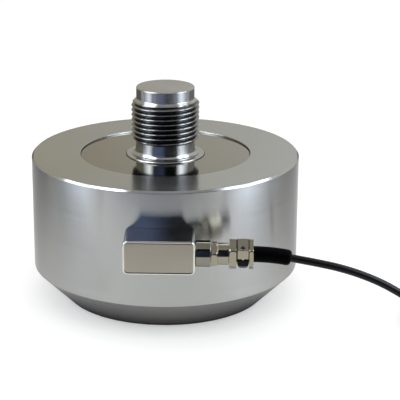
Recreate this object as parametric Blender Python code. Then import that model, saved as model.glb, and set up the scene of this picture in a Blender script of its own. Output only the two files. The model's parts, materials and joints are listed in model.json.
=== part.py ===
"""Force transducer with a threaded load stud, a connection box and a plugged signal cable.

Metres, +Z up. The origin is on the load axis at the base plane. The connection box faces -Y, and the
plug leaves it towards +X. The spring body is one turned piece: an outer ring and an inner hub joined by
a web that carries the strain gauges, with a thin diaphragm over the chamber above the web and a screwed
cover under the chamber below it.
"""

import math

import bmesh
import bpy
from mathutils import Matrix, Vector

MM = 0.001

# Clearances between neighbouring pieces
SEAT_GAP = 0.3 * MM
CONTACT_GAP = 0.15 * MM

# How far a cutter or a blank reaches past what it cuts
OVERRUN = 1 * MM

# Facets round a full circle
BODY_FACETS = 60
COIL_FACETS = 36
STUD_FACETS = 24
CONNECTOR_FACETS = 24
SCREW_FACETS = 12
CONTACT_FACETS = 8
SEAL_FACETS = 6
FILLET_STEPS = 2

# Spring body
BODY_DIAMETER = 165 * MM
BODY_HEIGHT = 90 * MM
TOP_EDGE_CHAMFER = 1.2 * MM
FOOT_CHAMFER = 20 * MM
RECESS_DIAMETER = 105 * MM
RECESS_DEPTH = 1.5 * MM
RECESS_RIM_CHAMFER = 0.4 * MM
WEB_TOP_Z = 46 * MM
WEB_THICKNESS = 16 * MM
WEB_FILLET = 4 * MM

# Diaphragm over the upper chamber, between the ring's ledge and the hub's ledge
DIAPHRAGM_THICKNESS = 0.8 * MM
DIAPHRAGM_LEDGE = 2.5 * MM
HUB_LIP_DIAMETER = 48 * MM
HUB_LIP_RISE = 0.9 * MM
HUB_LIP_CHAMFER = 0.3 * MM

# Load stud
FOOT_RING_DIAMETER = 41 * MM
FOOT_RING_HEIGHT = 0.5 * MM
NECK_DIAMETER = 36 * MM
NECK_FILLET = 1.5 * MM
NECK_HEIGHT = 8.6 * MM
THREAD_DIAMETER = 41.8 * MM
THREAD_PITCH = 3 * MM
THREAD_LENGTH = 24 * MM
THREAD_RUNOUT = 0.35 * MM
PILOT_DIAMETER = 35.5 * MM
PILOT_CHAMFER = 0.5 * MM
PILOT_HEIGHT = 6.4 * MM
STUD_SINK = 5 * MM

# Cover under the lower chamber, with its seal and screws
COVER_DIAMETER = 111.4 * MM
COVER_THICKNESS = 6 * MM
COVER_LEDGE = 12 * MM
HUB_CLEARANCE = 3 * MM
SEAL_CORD = 2 * MM
SEAL_SQUEEZE = 0.4 * MM
SEAL_INSET = 2.2 * MM
COVER_SCREWS = 6
COVER_SCREW_INSET = 4.5 * MM
COVER_SCREW_THREAD = 3 * MM
COVER_SCREW_HEAD = 5.6 * MM
COVER_SCREW_LENGTH = 12 * MM

# Strain gauges and their terminal board on the web
GAUGES = 8
GAUGE_LENGTH = 7 * MM
GAUGE_WIDTH = 5 * MM
GAUGE_THICKNESS = 0.4 * MM
GAUGE_EDGE = 0.4 * MM
BOARD_THICKNESS = 1.6 * MM
BOARD_MARGIN = 1 * MM
BOARD_HALF_ANGLE = math.radians(16)
RESISTOR_LENGTH = 5 * MM
RESISTOR_WIDTH = 2.5 * MM
RESISTOR_HEIGHT = 1.4 * MM

# Wires from the board through the ring to the connector
WIRE_BORE = 8 * MM
WIRE_BUNDLE = 3 * MM
WIRE_BUSH_LENGTH = 10 * MM
WIRE_BUSH_SETBACK = 2 * MM

# Connection box
BOX_WIDTH = 40 * MM
BOX_HEIGHT = 19.7 * MM
BOX_STANDOFF = 22.7 * MM
BOX_CENTRE_Z = 58.3 * MM
BOX_CORNER = 2.3 * MM
BOX_FRONT_CHAMFER = 0.6 * MM
BOX_CAVITY_HEIGHT = 10 * MM
BOX_CAVITY_LEFT_MARGIN = 11 * MM
BOX_CAVITY_RIGHT_MARGIN = 15 * MM
BOX_FRONT_WALL = 4.2 * MM
PLATE_MARGIN = 0.9 * MM
PLATE_THICKNESS = 0.4 * MM
GASKET_WIDTH = 1.6 * MM
GASKET_THICKNESS = 1.2 * MM
GASKET_INSET = 1.05 * MM
BOX_SCREW_THREAD = 2.5 * MM
BOX_SCREW_HEAD = 4.5 * MM
BOX_SCREW_HEAD_HEIGHT = 2.1 * MM
BOX_SCREW_GRIP = 6 * MM
BOX_SCREW_LEFT_SIDE = 6 * MM
BOX_SCREW_RIGHT_SIDE = 11 * MM
BOX_SCREW_EDGE = 4.95 * MM

# Panel connector, from the box's right side outwards
CONNECTOR_SETBACK = 9.2 * MM
NOSE_DIAMETER = 9 * MM
NOSE_LENGTH = 7.5 * MM
REAR_BORE = 6.4 * MM
WIRE_CHANNEL = 5 * MM
WIRE_CHANNEL_BREAKTHROUGH = 3 * MM
COLLAR_DIAMETER = 15 * MM
COLLAR_LENGTH = 8.8 * MM
COLLAR_CHAMFER = 1.2 * MM
SPIGOT_DIAMETER = 10.4 * MM
SPIGOT_LENGTH = 6.9 * MM
SPIGOT_BORE = 9.2 * MM
PANEL_SEAL_CORD = 1.4 * MM
CONNECTOR_EDGE = 0.4 * MM
INSERT_FACE_DEPTH = 7.7 * MM
INSERT_THICKNESS = 3.7 * MM
CONTACTS = 6
CONTACT_CIRCLE = 4.3 * MM
PIN_DIAMETER = 0.7 * MM
PIN_REACH = 5.5 * MM
PIN_TAIL = 2.3 * MM
SOCKET_DIAMETER = 1.5 * MM

# Plug: its coupling ring starts with short wrench flats, one corner a little above the front
RING_ACROSS_FLATS = 13.1 * MM
RING_DIAMETER = 14.8 * MM
RING_CORNER_TURN = math.radians(13.8)
RING_LENGTH = 3.2 * MM
RING_NECK_DIAMETER = 12.5 * MM
RING_NECK_LENGTH = 6.6 * MM
RING_EDGE = 0.4 * MM
RING_SHOULDER = 0.7 * MM
RING_LIP = 1 * MM
PLUG_BARREL_WALL = 0.6 * MM
PLUG_FLANGE_LENGTH = 1.6 * MM
PLUG_INSERT_SETBACK = 0.4 * MM
PLUG_INSERT_LENGTH = 6 * MM
SOCKET_SETBACK = 0.6 * MM
SOCKET_LENGTH = 7.7 * MM
SOCKET_BORE_DEPTH = 4.9 * MM

# Cable clamp: a six-sided back shell with a window for the saddle and the shoe
CLAMP_ACROSS_FLATS = 15.7 * MM
CLAMP_LENGTH = 13.4 * MM
CLAMP_TAPER = 1.5 * MM
CLAMP_END_CHAMFER = 0.4 * MM
FRONT_FLANGE = 3.8 * MM
REAR_FLANGE = 2.3 * MM
SADDLE_LENGTH = 6.1 * MM
SADDLE_END_GAP = 0.7 * MM
SADDLE_DROP = 0.3 * MM
SHOE_DROP = 1.35 * MM
SHOE_TOP_LENGTH = 6.4 * MM
SHOE_FOOT_LENGTH = 4.6 * MM
SHOE_HEIGHT = 6.2 * MM
SHOE_SIDE = 1.6 * MM
SHOE_CHAMFER = 0.8 * MM
LINK_SETBACK = 3 * MM
CLAMP_SCREW_OFFSET = 6.1 * MM
CLAMP_SCREW_THREAD = 1.6 * MM
CLAMP_SCREW_HEAD = 2.2 * MM
CLAMP_SCREW_HEAD_HEIGHT = 1.2 * MM
CLAMP_SCREW_SEAT = 3.4 * MM
CLAMP_SCREW_LENGTH = 8.3 * MM

# Boot and cable
CABLE_DIAMETER = 4.5 * MM
BOOT_DIAMETER = 9.1 * MM
BOOT_GRIP = 10.6 * MM
BOOT_LENGTH = 21.1 * MM
BOOT_DROOP = 2.1 * MM
BOOT_ROUNDING = 2.4 * MM
BOOT_STATIONS = 9

# Spare cable, wound on the surface beside the body and tied
COIL_MID_DIAMETER = 54.6 * MM
COIL_TURNS = 16.25
COIL_LAYERS = 4
COIL_CENTRE_X = 188 * MM
COIL_CENTRE_Y = -59.6 * MM
TIE_THICKNESS = 0.9 * MM
TIE_WIDTH = 7 * MM
TIE_ANGLES = (math.radians(140), math.radians(-40))

# Plug at the cable's far end, lying beside the coil
END_PLUG_RING_DIAMETER = 16 * MM
END_PLUG_RING_LENGTH = 12 * MM
END_PLUG_SHELL_DIAMETER = 14.4 * MM
END_PLUG_SHELL_LENGTH = 20 * MM
END_PLUG_TAIL_DIAMETER = 11 * MM
END_PLUG_BORE = 11.6 * MM
END_PLUG_INSERT_LENGTH = 9 * MM
END_PLUG_BOOT_LENGTH = 14 * MM
END_PLUG_BOOT_TIP = 7 * MM
END_PLUG_START = 21 * MM
END_PLUG_WALL = 1.2 * MM
END_PLUG_EDGE = 0.5 * MM
END_PLUG_CONE = 2 * MM
END_PLUG_RING_OVERHANG = 4 * MM
END_PLUG_INSERT_SETBACK = 1 * MM

# The cable's route from the plug to the coil, chosen by hand: x, y and z in millimetres
CABLE_ROUTE = (
    (37.6, -96.0, 58.3),
    (45.0, -96.0, 58.3),
    (52.9, -96.0, 58.3),
    (60.0, -96.0, 58.06),
    (67.0, -96.0, 57.36),
    (74.0, -96.0, 56.2),
    (82.0, -96.0, 54.75),
    (91.0, -96.0, 53.0),
    (100.0, -96.0, 51.0),
    (109.0, -96.0, 48.4),
    (118.0, -96.0, 45.1),
    (127.0, -96.0, 41.0),
    (136.0, -96.0, 35.9),
    (145.0, -96.0, 30.3),
    (154.0, -96.0, 25.0),
    (162.0, -96.0, 21.0),
    (169.0, -96.0, 18.3),
)

# Sizes that follow from the ones above
BODY_RADIUS = BODY_DIAMETER / 2
RECESS_RADIUS = RECESS_DIAMETER / 2
LIP_RADIUS = HUB_LIP_DIAMETER / 2
HUB_RADIUS = LIP_RADIUS + DIAPHRAGM_LEDGE
CHAMBER_RADIUS = RECESS_RADIUS - DIAPHRAGM_LEDGE
DIAPHRAGM_TOP_Z = BODY_HEIGHT - RECESS_DEPTH
DIAPHRAGM_SEAT_Z = DIAPHRAGM_TOP_Z - DIAPHRAGM_THICKNESS - SEAT_GAP
LIP_TOP_Z = DIAPHRAGM_TOP_Z + HUB_LIP_RISE
THREAD_START_Z = LIP_TOP_Z + NECK_HEIGHT
WEB_BASE_Z = WEB_TOP_Z - WEB_THICKNESS
COVER_SEAT_RADIUS = COVER_DIAMETER / 2 + SEAT_GAP
COVER_SEAT_Z = COVER_THICKNESS + SEAT_GAP
LOWER_RADIUS = COVER_SEAT_RADIUS - COVER_LEDGE
HUB_BASE_Z = COVER_THICKNESS + HUB_CLEARANCE
STUD_RADIUS = THREAD_DIAMETER / 2
THREAD_DEPTH = 0.6134 * THREAD_PITCH
ROOT_RADIUS = STUD_RADIUS - THREAD_DEPTH
PILOT_RADIUS = PILOT_DIAMETER / 2
PILOT_BASE_Z = THREAD_START_Z + THREAD_LENGTH + STUD_RADIUS - PILOT_RADIUS
STUD_TOP_Z = PILOT_BASE_Z + PILOT_HEIGHT
BOX_FRONT = BODY_RADIUS + BOX_STANDOFF
BOX_SEAT_RADIUS = BODY_RADIUS + SEAT_GAP
BOX_BLANK_START = math.sqrt(BOX_SEAT_RADIUS**2 - (BOX_WIDTH / 2) ** 2) - OVERRUN
POCKET_FLOOR = BOX_FRONT - PLATE_THICKNESS - SEAT_GAP
COLLAR_START = SEAT_GAP
COLLAR_END = COLLAR_START + COLLAR_LENGTH
SPIGOT_END = COLLAR_END + SPIGOT_LENGTH
INSERT_FACE = COLLAR_START + INSERT_FACE_DEPTH
INSERT_SEAT = INSERT_FACE - INSERT_THICKNESS - SEAT_GAP
RING_START = COLLAR_END + SEAT_GAP
RING_END = RING_START + RING_LENGTH + RING_NECK_LENGTH
CLAMP_START = RING_END + SEAT_GAP
CLAMP_END = CLAMP_START + CLAMP_LENGTH
CLAMP_BORE = BOOT_DIAMETER + 2 * SEAT_GAP
WINDOW_START = CLAMP_START + FRONT_FLANGE
WINDOW_END = CLAMP_END - REAR_FLANGE
BOOT_START = CLAMP_END - BOOT_GRIP


def material(name, colour, roughness, metallic):
    """A Principled material with one colour, given as linear red, green and blue."""
    new = bpy.data.materials.new(name)
    new.use_nodes = True
    shader = new.node_tree.nodes["Principled BSDF"]
    shader.inputs["Base Color"].default_value = (*colour, 1)
    shader.inputs["Roughness"].default_value = roughness
    shader.inputs["Metallic"].default_value = metallic
    new.diffuse_color = (*colour, 1)
    return new


def empty(name, location, turn):
    """A guide whose turn is a matrix of the three local axes as columns."""
    guide = bpy.data.objects.new(name, None)
    bpy.context.scene.collection.objects.link(guide)
    guide.matrix_world = Matrix.Translation(location) @ turn.to_4x4()
    return guide


def add(name, mesh, finish, parent=None, location=(0, 0, 0), turn=0.0):
    """A named object for one piece, turned about its parent's Z axis."""
    piece = bpy.data.objects.new(name, mesh)
    bpy.context.scene.collection.objects.link(piece)
    piece.parent = parent
    piece.location = location
    piece.rotation_euler.z = turn
    if finish and not mesh.materials:
        mesh.materials.append(finish)
    return piece


def closed(name, bm):
    """The finished mesh of a bmesh, with its faces pointing out and its round faces smooth."""
    bmesh.ops.remove_doubles(bm, verts=bm.verts, dist=0.001 * MM)
    bmesh.ops.recalc_face_normals(bm, faces=bm.faces)
    mesh = bpy.data.meshes.new(name)
    bm.to_mesh(mesh)
    bm.free()
    mesh.shade_smooth()
    mesh.set_sharp_from_angle(angle=math.radians(30))
    return mesh


def lathe(name, outline, facets):
    """Turns an outline of (radius, height) points about Z. An outline that starts and ends on the axis
    gives a solid piece, and one that stays off the axis is closed into a ring."""
    bm = bmesh.new()
    points = [bm.verts.new((radius, 0, height)) for radius, height in outline]
    pairs = list(zip(points, points[1:]))
    if outline[0][0] > 0:
        pairs.append((points[-1], points[0]))
    edges = [bm.edges.new(pair) for pair in pairs]
    bmesh.ops.spin(
        bm, geom=points + edges, cent=(0, 0, 0), axis=(0, 0, 1), angle=math.tau, steps=facets, use_merge=True
    )
    return closed(name, bm)


def loft(name, sections):
    """Skins closed sections, each a list of as many (x, y, z) points, and caps both ends."""
    bm = bmesh.new()
    rows = [[bm.verts.new(point) for point in section] for section in sections]
    count = len(rows[0])
    for low, high in zip(rows, rows[1:]):
        for i in range(count):
            j = (i + 1) % count
            bm.faces.new((low[i], low[j], high[j], high[i]))
    bm.faces.new(rows[0][::-1])
    bm.faces.new(rows[-1])
    return closed(name, bm)


def at_height(outline, height):
    return [(x, y, height) for x, y in outline]


def prism(name, outline, low, high):
    """An outline of (x, y) points carried straight up from one height to another."""
    return loft(name, [at_height(outline, low), at_height(outline, high)])


def rectangle(left, right, bottom, top):
    return [(left, bottom), (right, bottom), (right, top), (left, top)]


def rounded_rectangle(width, height, corner, steps=4):
    """The outline of a rectangle about the origin with round corners."""
    outline = []
    for quarter, (side, rise) in enumerate(((1, 1), (-1, 1), (-1, -1), (1, -1))):
        centre_x = side * (width / 2 - corner)
        centre_y = rise * (height / 2 - corner)
        for step in range(steps + 1):
            angle = math.radians(90 * (quarter + step / steps))
            outline.append((centre_x + corner * math.cos(angle), centre_y + corner * math.sin(angle)))
    return outline


def circle(radius, facets, centre=(0, 0)):
    angles = [math.tau * i / facets for i in range(facets)]
    return [(centre[0] + radius * math.cos(a), centre[1] + radius * math.sin(a)) for a in angles]


def hexagon(across_flats):
    """Six corners, one of them straight up, so that two flats stand upright."""
    corner_radius = across_flats / math.sqrt(3)
    angles = [math.radians(30 + 60 * i) for i in range(6)]
    return [(corner_radius * math.cos(a), corner_radius * math.sin(a)) for a in angles]


def fillet(corner, radius, start, end):
    """Points of a quarter turn whose centre is given, from one angle to another in degrees."""
    points = []
    for step in range(FILLET_STEPS + 1):
        angle = math.radians(start + (end - start) * step / FILLET_STEPS)
        points.append((corner[0] + radius * math.cos(angle), corner[1] + radius * math.sin(angle)))
    return points


def boolean(target, operation, tool):
    """Cuts, joins or crosses a piece with a tool that isn't itself part of the object."""
    tool.hide_render = True
    tool.display_type = "WIRE"
    change = target.modifiers.new(tool.name, "BOOLEAN")
    change.operation = operation
    change.solver = "EXACT"
    change.object = tool


def cylinder_tool(name, diameter, low, high, facets, parent=None, location=(0, 0, 0)):
    mesh = prism(name, circle(diameter / 2, facets), low, high)
    return add(name, mesh, None, parent, location)


def socket_screw(name, head, head_height, countersunk, thread, length, facets=SCREW_FACETS):
    """A screw that points down from z = 0, the top of its head, with a six-sided socket."""
    socket = head * 0.24
    depth = head_height * 0.6
    corners = hexagon(2 * socket)
    hexagon_points = []
    for i in range(6):
        here = Vector(corners[i])
        following = Vector(corners[(i + 1) % 6])
        hexagon_points += [tuple(here), tuple((here + following) / 2)]
    start = math.radians(30)

    def ring(radius, height):
        angles = [start + math.tau * i / facets for i in range(facets)]
        return [(radius * math.cos(a), radius * math.sin(a), height) for a in angles]

    sections = [at_height(hexagon_points, -depth), at_height(hexagon_points, 0), ring(head / 2, 0)]
    if not countersunk:
        sections.append(ring(head / 2, -head_height))
    sections += [ring(thread / 2, -head_height), ring(thread / 2, -length)]
    return loft(name, sections)


def smooth_route(points, spacing):
    """Points about one spacing apart on a Catmull-Rom curve through the given points."""
    points = [Vector(p) for p in points]
    padded = [2 * points[0] - points[1], *points, 2 * points[-1] - points[-2]]
    fine = []
    for before, start, end, after in zip(padded, padded[1:], padded[2:], padded[3:]):
        steps = 16
        for step in range(steps):
            t = step / steps
            fine.append(
                0.5
                * (
                    2 * start
                    + (end - before) * t
                    + (2 * before - 5 * start + 4 * end - after) * t**2
                    + (3 * start - before - 3 * end + after) * t**3
                )
            )
    fine.append(points[-1])
    lengths = [0.0]
    for a, b in zip(fine, fine[1:]):
        lengths.append(lengths[-1] + (b - a).length)
    count = max(2, round(lengths[-1] / spacing))
    route = []
    place = 0
    for i in range(count + 1):
        wanted = lengths[-1] * i / count
        while place < len(fine) - 2 and lengths[place + 1] < wanted:
            place += 1
        share = (wanted - lengths[place]) / (lengths[place + 1] - lengths[place])
        route.append(fine[place].lerp(fine[place + 1], share))
    return route


def tube(name, route, diameter, resolution, finish, taper=None):
    """A curve object that carries a round section along a route, with filled ends."""
    curve = bpy.data.curves.new(name, "CURVE")
    curve.dimensions = "3D"
    curve.bevel_depth = diameter / 2
    curve.bevel_resolution = resolution
    curve.use_fill_caps = True
    spline = curve.splines.new("POLY")
    spline.points.add(len(route) - 1)
    for i, (point, place) in enumerate(zip(spline.points, route)):
        point.co = (*place, 1)
        point.radius = taper[i] if taper else 1
    if finish:
        curve.materials.append(finish)
    piece = bpy.data.objects.new(name, curve)
    bpy.context.scene.collection.objects.link(piece)
    return piece


def tube_mesh(name, route, diameter, resolution, taper=None):
    """The same tube as a closed mesh, which a Boolean can use."""
    guide = tube(name, route, diameter, resolution, None, taper)
    bpy.context.view_layer.update()
    seen = guide.evaluated_get(bpy.context.evaluated_depsgraph_get())
    bm = bmesh.new()
    bm.from_mesh(bpy.data.meshes.new_from_object(seen))
    bpy.data.objects.remove(guide)
    return closed(name, bm)


def thread_ridge():
    """The stud's right-hand thread as one swept ridge, cut to the stud's length and chamfers."""
    sink = 0.15 * MM
    half_crest = THREAD_PITCH / 16
    half_root = half_crest + (THREAD_DEPTH + sink) * math.tan(math.radians(30))
    low = THREAD_START_Z - THREAD_PITCH / 2
    high = PILOT_BASE_Z
    steps = round((high - low) / THREAD_PITCH * STUD_FACETS)
    profile = (
        (ROOT_RADIUS - sink, -half_root),
        (STUD_RADIUS, -half_crest),
        (STUD_RADIUS, half_crest),
        (ROOT_RADIUS - sink, half_root),
    )
    sections = []
    for step in range(steps + 1):
        angle = math.tau * step / STUD_FACETS
        rise = low + THREAD_PITCH * step / STUD_FACETS
        sections.append([(r * math.cos(angle), r * math.sin(angle), rise + z) for r, z in profile])
    ridge = add("thread_ridge_tool", loft("thread_ridge_tool", sections), None)
    over = 0.3 * MM
    bottom_z = THREAD_START_Z + THREAD_RUNOUT
    top_z = THREAD_START_Z + THREAD_LENGTH - THREAD_RUNOUT
    start_rise = (STUD_RADIUS - NECK_DIAMETER / 2) * math.tan(math.radians(30))
    envelope = lathe(
        "thread_length_tool",
        [
            (0, bottom_z),
            (NECK_DIAMETER / 2 + over, bottom_z),
            (STUD_RADIUS + over, bottom_z + start_rise),
            (STUD_RADIUS + over, top_z - over),
            (PILOT_RADIUS - over, PILOT_BASE_Z - THREAD_RUNOUT + over),
            (0, PILOT_BASE_Z - THREAD_RUNOUT + over),
        ],
        BODY_FACETS,
    )
    boolean(ridge, "INTERSECT", add("thread_length_tool", envelope, None))
    return ridge


def stud_core():
    """The stud without its thread, from inside the hub to the top of its plain pilot."""
    foot = FOOT_RING_DIAMETER / 2
    neck = NECK_DIAMETER / 2
    foot_top = LIP_TOP_Z + FOOT_RING_HEIGHT
    root_rise = (ROOT_RADIUS - neck) * math.tan(math.radians(30))
    outline = [(0, LIP_TOP_Z - STUD_SINK), (foot, LIP_TOP_Z - STUD_SINK), (foot, foot_top)]
    outline += fillet((neck + NECK_FILLET, foot_top + NECK_FILLET), NECK_FILLET, 270, 180)
    outline += [
        (neck, THREAD_START_Z),
        (ROOT_RADIUS, THREAD_START_Z + root_rise),
        (ROOT_RADIUS, PILOT_BASE_Z + PILOT_RADIUS - ROOT_RADIUS),
        (PILOT_RADIUS, PILOT_BASE_Z),
        (PILOT_RADIUS, STUD_TOP_Z - PILOT_CHAMFER),
        (PILOT_RADIUS - PILOT_CHAMFER, STUD_TOP_Z),
        (0, STUD_TOP_Z),
    ]
    return add("stud_core_tool", lathe("stud_core_tool", outline, STUD_FACETS), None)


def cover_screw_places():
    """The middle of each cover screw, on the circle between the seal and the cover's edge."""
    circle_radius = COVER_SEAT_RADIUS - COVER_SCREW_INSET
    angles = [math.tau * (i + 0.5) / COVER_SCREWS for i in range(COVER_SCREWS)]
    return [(circle_radius * math.cos(a), circle_radius * math.sin(a)) for a in angles]


def box_screw_places():
    """The middle of each box screw in the box's own frame: low on the left and high on the right."""
    left = -(BOX_WIDTH / 2 - BOX_SCREW_LEFT_SIDE)
    right = BOX_WIDTH / 2 - BOX_SCREW_RIGHT_SIDE
    rise = BOX_HEIGHT / 2 - BOX_SCREW_EDGE
    return [(left, -rise), (right, rise)]


def elastic_body(steel, box_frame):
    """Ring, web, hub and stud, turned from one bar."""
    f = WEB_FILLET
    outline = [(0, HUB_BASE_Z), (HUB_RADIUS, HUB_BASE_Z)]
    outline += fillet((HUB_RADIUS + f, WEB_BASE_Z - f), f, 180, 90)
    outline += fillet((LOWER_RADIUS - f, WEB_BASE_Z - f), f, 90, 0)
    outline += [
        (LOWER_RADIUS, COVER_SEAT_Z),
        (COVER_SEAT_RADIUS, COVER_SEAT_Z),
        (COVER_SEAT_RADIUS, 0),
        (BODY_RADIUS - FOOT_CHAMFER, 0),
        (BODY_RADIUS, FOOT_CHAMFER),
        (BODY_RADIUS, BODY_HEIGHT - TOP_EDGE_CHAMFER),
        (BODY_RADIUS - TOP_EDGE_CHAMFER, BODY_HEIGHT),
        (RECESS_RADIUS + RECESS_RIM_CHAMFER, BODY_HEIGHT),
        (RECESS_RADIUS, BODY_HEIGHT - RECESS_RIM_CHAMFER),
        (RECESS_RADIUS, DIAPHRAGM_SEAT_Z),
        (CHAMBER_RADIUS, DIAPHRAGM_SEAT_Z),
    ]
    outline += fillet((CHAMBER_RADIUS - f, WEB_TOP_Z + f), f, 360, 270)
    outline += fillet((HUB_RADIUS + f, WEB_TOP_Z + f), f, 270, 180)
    outline += [
        (HUB_RADIUS, DIAPHRAGM_SEAT_Z),
        (LIP_RADIUS, DIAPHRAGM_SEAT_Z),
        (LIP_RADIUS, LIP_TOP_Z - HUB_LIP_CHAMFER),
        (LIP_RADIUS - HUB_LIP_CHAMFER, LIP_TOP_Z),
        (0, LIP_TOP_Z),
    ]
    body = add("elastic_body", lathe("elastic_body", outline, BODY_FACETS), steel)
    wall_start = CHAMBER_RADIUS - OVERRUN
    wall_end = BODY_RADIUS + OVERRUN
    bore = cylinder_tool("wire_bore_tool", WIRE_BORE, wall_start, wall_end, CONNECTOR_FACETS, box_frame)
    boolean(body, "DIFFERENCE", bore)
    hole = COVER_SCREW_THREAD + 2 * SEAT_GAP
    for i, (x, y) in enumerate(cover_screw_places(), 1):
        name = f"cover_hole_{i}_tool"
        low = COVER_THICKNESS - OVERRUN
        high = COVER_SCREW_LENGTH + 2 * SEAT_GAP
        drill = cylinder_tool(name, hole, low, high, SCREW_FACETS, None, (x, y, 0))
        boolean(body, "DIFFERENCE", drill)
    hole = BOX_SCREW_THREAD + 2 * SEAT_GAP
    for i, (x, y) in enumerate(box_screw_places(), 1):
        name = f"box_hole_{i}_tool"
        low = box_screw_end() - SEAT_GAP
        drill = cylinder_tool(name, hole, low, wall_end, SCREW_FACETS, box_frame, (x, y, 0))
        boolean(body, "DIFFERENCE", drill)
    boolean(body, "UNION", stud_core())
    boolean(body, "UNION", thread_ridge())
    return body


def top_diaphragm(sheet):
    low = DIAPHRAGM_SEAT_Z + SEAT_GAP
    inner = LIP_RADIUS + SEAT_GAP
    outer = RECESS_RADIUS - SEAT_GAP
    outline = [(inner, low), (outer, low), (outer, DIAPHRAGM_TOP_Z), (inner, DIAPHRAGM_TOP_Z)]
    return add("top_diaphragm", lathe("top_diaphragm", outline, BODY_FACETS), sheet)


def base_cover(steel, rubber, screw_steel):
    """The cover, its O-ring in a groove and its countersunk screws."""
    groove_middle = LOWER_RADIUS + SEAL_INSET
    groove_half = SEAL_CORD / 2 + SEAT_GAP
    groove_floor = COVER_SEAT_Z - SEAL_CORD - 2 * SEAT_GAP
    outline = [
        (0, 0),
        (COVER_DIAMETER / 2, 0),
        (COVER_DIAMETER / 2, COVER_THICKNESS),
        (groove_middle + groove_half, COVER_THICKNESS),
        (groove_middle + groove_half, groove_floor),
        (groove_middle - groove_half, groove_floor),
        (groove_middle - groove_half, COVER_THICKNESS),
        (0, COVER_THICKNESS),
    ]
    cover = add("base_plate", lathe("base_plate", outline, BODY_FACETS), steel)
    cord = circle(SEAL_CORD / 2, SEAL_FACETS, (groove_middle, groove_floor + SEAT_GAP + SEAL_CORD / 2))
    add("base_seal", lathe("base_seal", cord, BODY_FACETS), rubber)
    head_height = (COVER_SCREW_HEAD - COVER_SCREW_THREAD) / 2
    screw = socket_screw(
        "cover_screw", COVER_SCREW_HEAD, head_height, True, COVER_SCREW_THREAD, COVER_SCREW_LENGTH
    )
    shank = COVER_SCREW_THREAD / 2 + SEAT_GAP
    head = COVER_SCREW_HEAD / 2 + SEAT_GAP
    seat = [
        (0, -OVERRUN),
        (head + OVERRUN, -OVERRUN),
        (shank, head - shank),
        (shank, COVER_THICKNESS + OVERRUN),
        (0, COVER_THICKNESS + OVERRUN),
    ]
    for i, (x, y) in enumerate(cover_screw_places(), 1):
        drill = lathe(f"countersink_{i}_tool", seat, SCREW_FACETS)
        boolean(cover, "DIFFERENCE", add(f"countersink_{i}_tool", drill, None, None, (x, y, 0)))
        piece = add(f"base_screw_{i}", screw, screw_steel, None, (x, y, SEAT_GAP))
        piece.rotation_euler.x = math.pi


def gauges_and_board(foil, board_finish, resistor_finish):
    """Gauges on the web's top, near the hub and near the ring by turns, and the board at the front."""
    inner = HUB_RADIUS + WEB_FILLET + GAUGE_EDGE + GAUGE_LENGTH / 2
    outer = CHAMBER_RADIUS - WEB_FILLET - GAUGE_EDGE - GAUGE_LENGTH / 2
    low = WEB_TOP_Z + SEAT_GAP
    outline = rectangle(-GAUGE_LENGTH / 2, GAUGE_LENGTH / 2, -GAUGE_WIDTH / 2, GAUGE_WIDTH / 2)
    pad = prism("strain_gauge", outline, 0, GAUGE_THICKNESS)
    for i in range(GAUGES):
        angle = math.tau * (i + 0.5) / GAUGES
        radius = outer if i % 2 else inner
        place = (radius * math.cos(angle), radius * math.sin(angle), low)
        add(f"strain_gauge_{i + 1}", pad, foil, None, place, angle)
    near = HUB_RADIUS + WEB_FILLET + BOARD_MARGIN
    far = CHAMBER_RADIUS - WEB_FILLET - BOARD_MARGIN
    steps = 6
    angles = [math.radians(-90) + BOARD_HALF_ANGLE * (2 * i / steps - 1) for i in range(steps + 1)]
    outline = [(far * math.cos(a), far * math.sin(a)) for a in angles]
    outline += [(near * math.cos(a), near * math.sin(a)) for a in reversed(angles)]
    add("bridge_board", prism("bridge_board", outline, low, low + BOARD_THICKNESS), board_finish)
    on_board = low + BOARD_THICKNESS + SEAT_GAP
    outline = rectangle(-RESISTOR_LENGTH / 2, RESISTOR_LENGTH / 2, -RESISTOR_WIDTH / 2, RESISTOR_WIDTH / 2)
    body = prism("balance_resistor_1", outline, 0, RESISTOR_HEIGHT)
    place = (-RESISTOR_LENGTH / 2 - WIRE_BUNDLE, -(near + far) / 2, on_board)
    add("balance_resistor_1", body, resistor_finish, None, place)


def signal_wires(insulation, rubber, box_frame):
    """One bundle from the board, through the bush in the ring's bore, to the connector's pins."""
    board_top = WEB_TOP_Z + SEAT_GAP + BOARD_THICKNESS + SEAT_GAP
    start_y = -(HUB_RADIUS + CHAMBER_RADIUS) / 2
    wall_y = -CHAMBER_RADIUS
    connector_y = -(BOX_FRONT - CONNECTOR_SETBACK)
    pins_x = BOX_WIDTH / 2 + INSERT_SEAT + SEAT_GAP - PIN_TAIL - SEAT_GAP
    turn = 5 * MM
    lift = 2 * MM
    lean = 2.5 * MM
    straight = 4 * MM
    route = [
        (0, start_y, board_top),
        (0, start_y, board_top + lift),
        (0, start_y - lean, (board_top + lift + BOX_CENTRE_Z) / 2),
        (0, wall_y + straight, BOX_CENTRE_Z),
        (0, wall_y - straight, BOX_CENTRE_Z),
        (0, -BODY_RADIUS, BOX_CENTRE_Z),
        (0, connector_y + turn, BOX_CENTRE_Z),
        (0.25 * turn, connector_y + 0.25 * turn, BOX_CENTRE_Z),
        (turn, connector_y, BOX_CENTRE_Z),
        (BOX_WIDTH / 2, connector_y, BOX_CENTRE_Z),
        (pins_x, connector_y, BOX_CENTRE_Z),
    ]
    tube("signal_wires", smooth_route(route, 1.2 * WIRE_BUNDLE), WIRE_BUNDLE, 2, insulation)
    outer = WIRE_BORE / 2 - SEAT_GAP
    inner = WIRE_BUNDLE / 2 + SEAT_GAP
    high = BODY_RADIUS - WIRE_BUSH_SETBACK
    low = high - WIRE_BUSH_LENGTH
    outline = [(inner, low), (outer, low), (outer, high), (inner, high)]
    add("wire_bush", lathe("wire_bush", outline, CONNECTOR_FACETS), rubber, box_frame)


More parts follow.
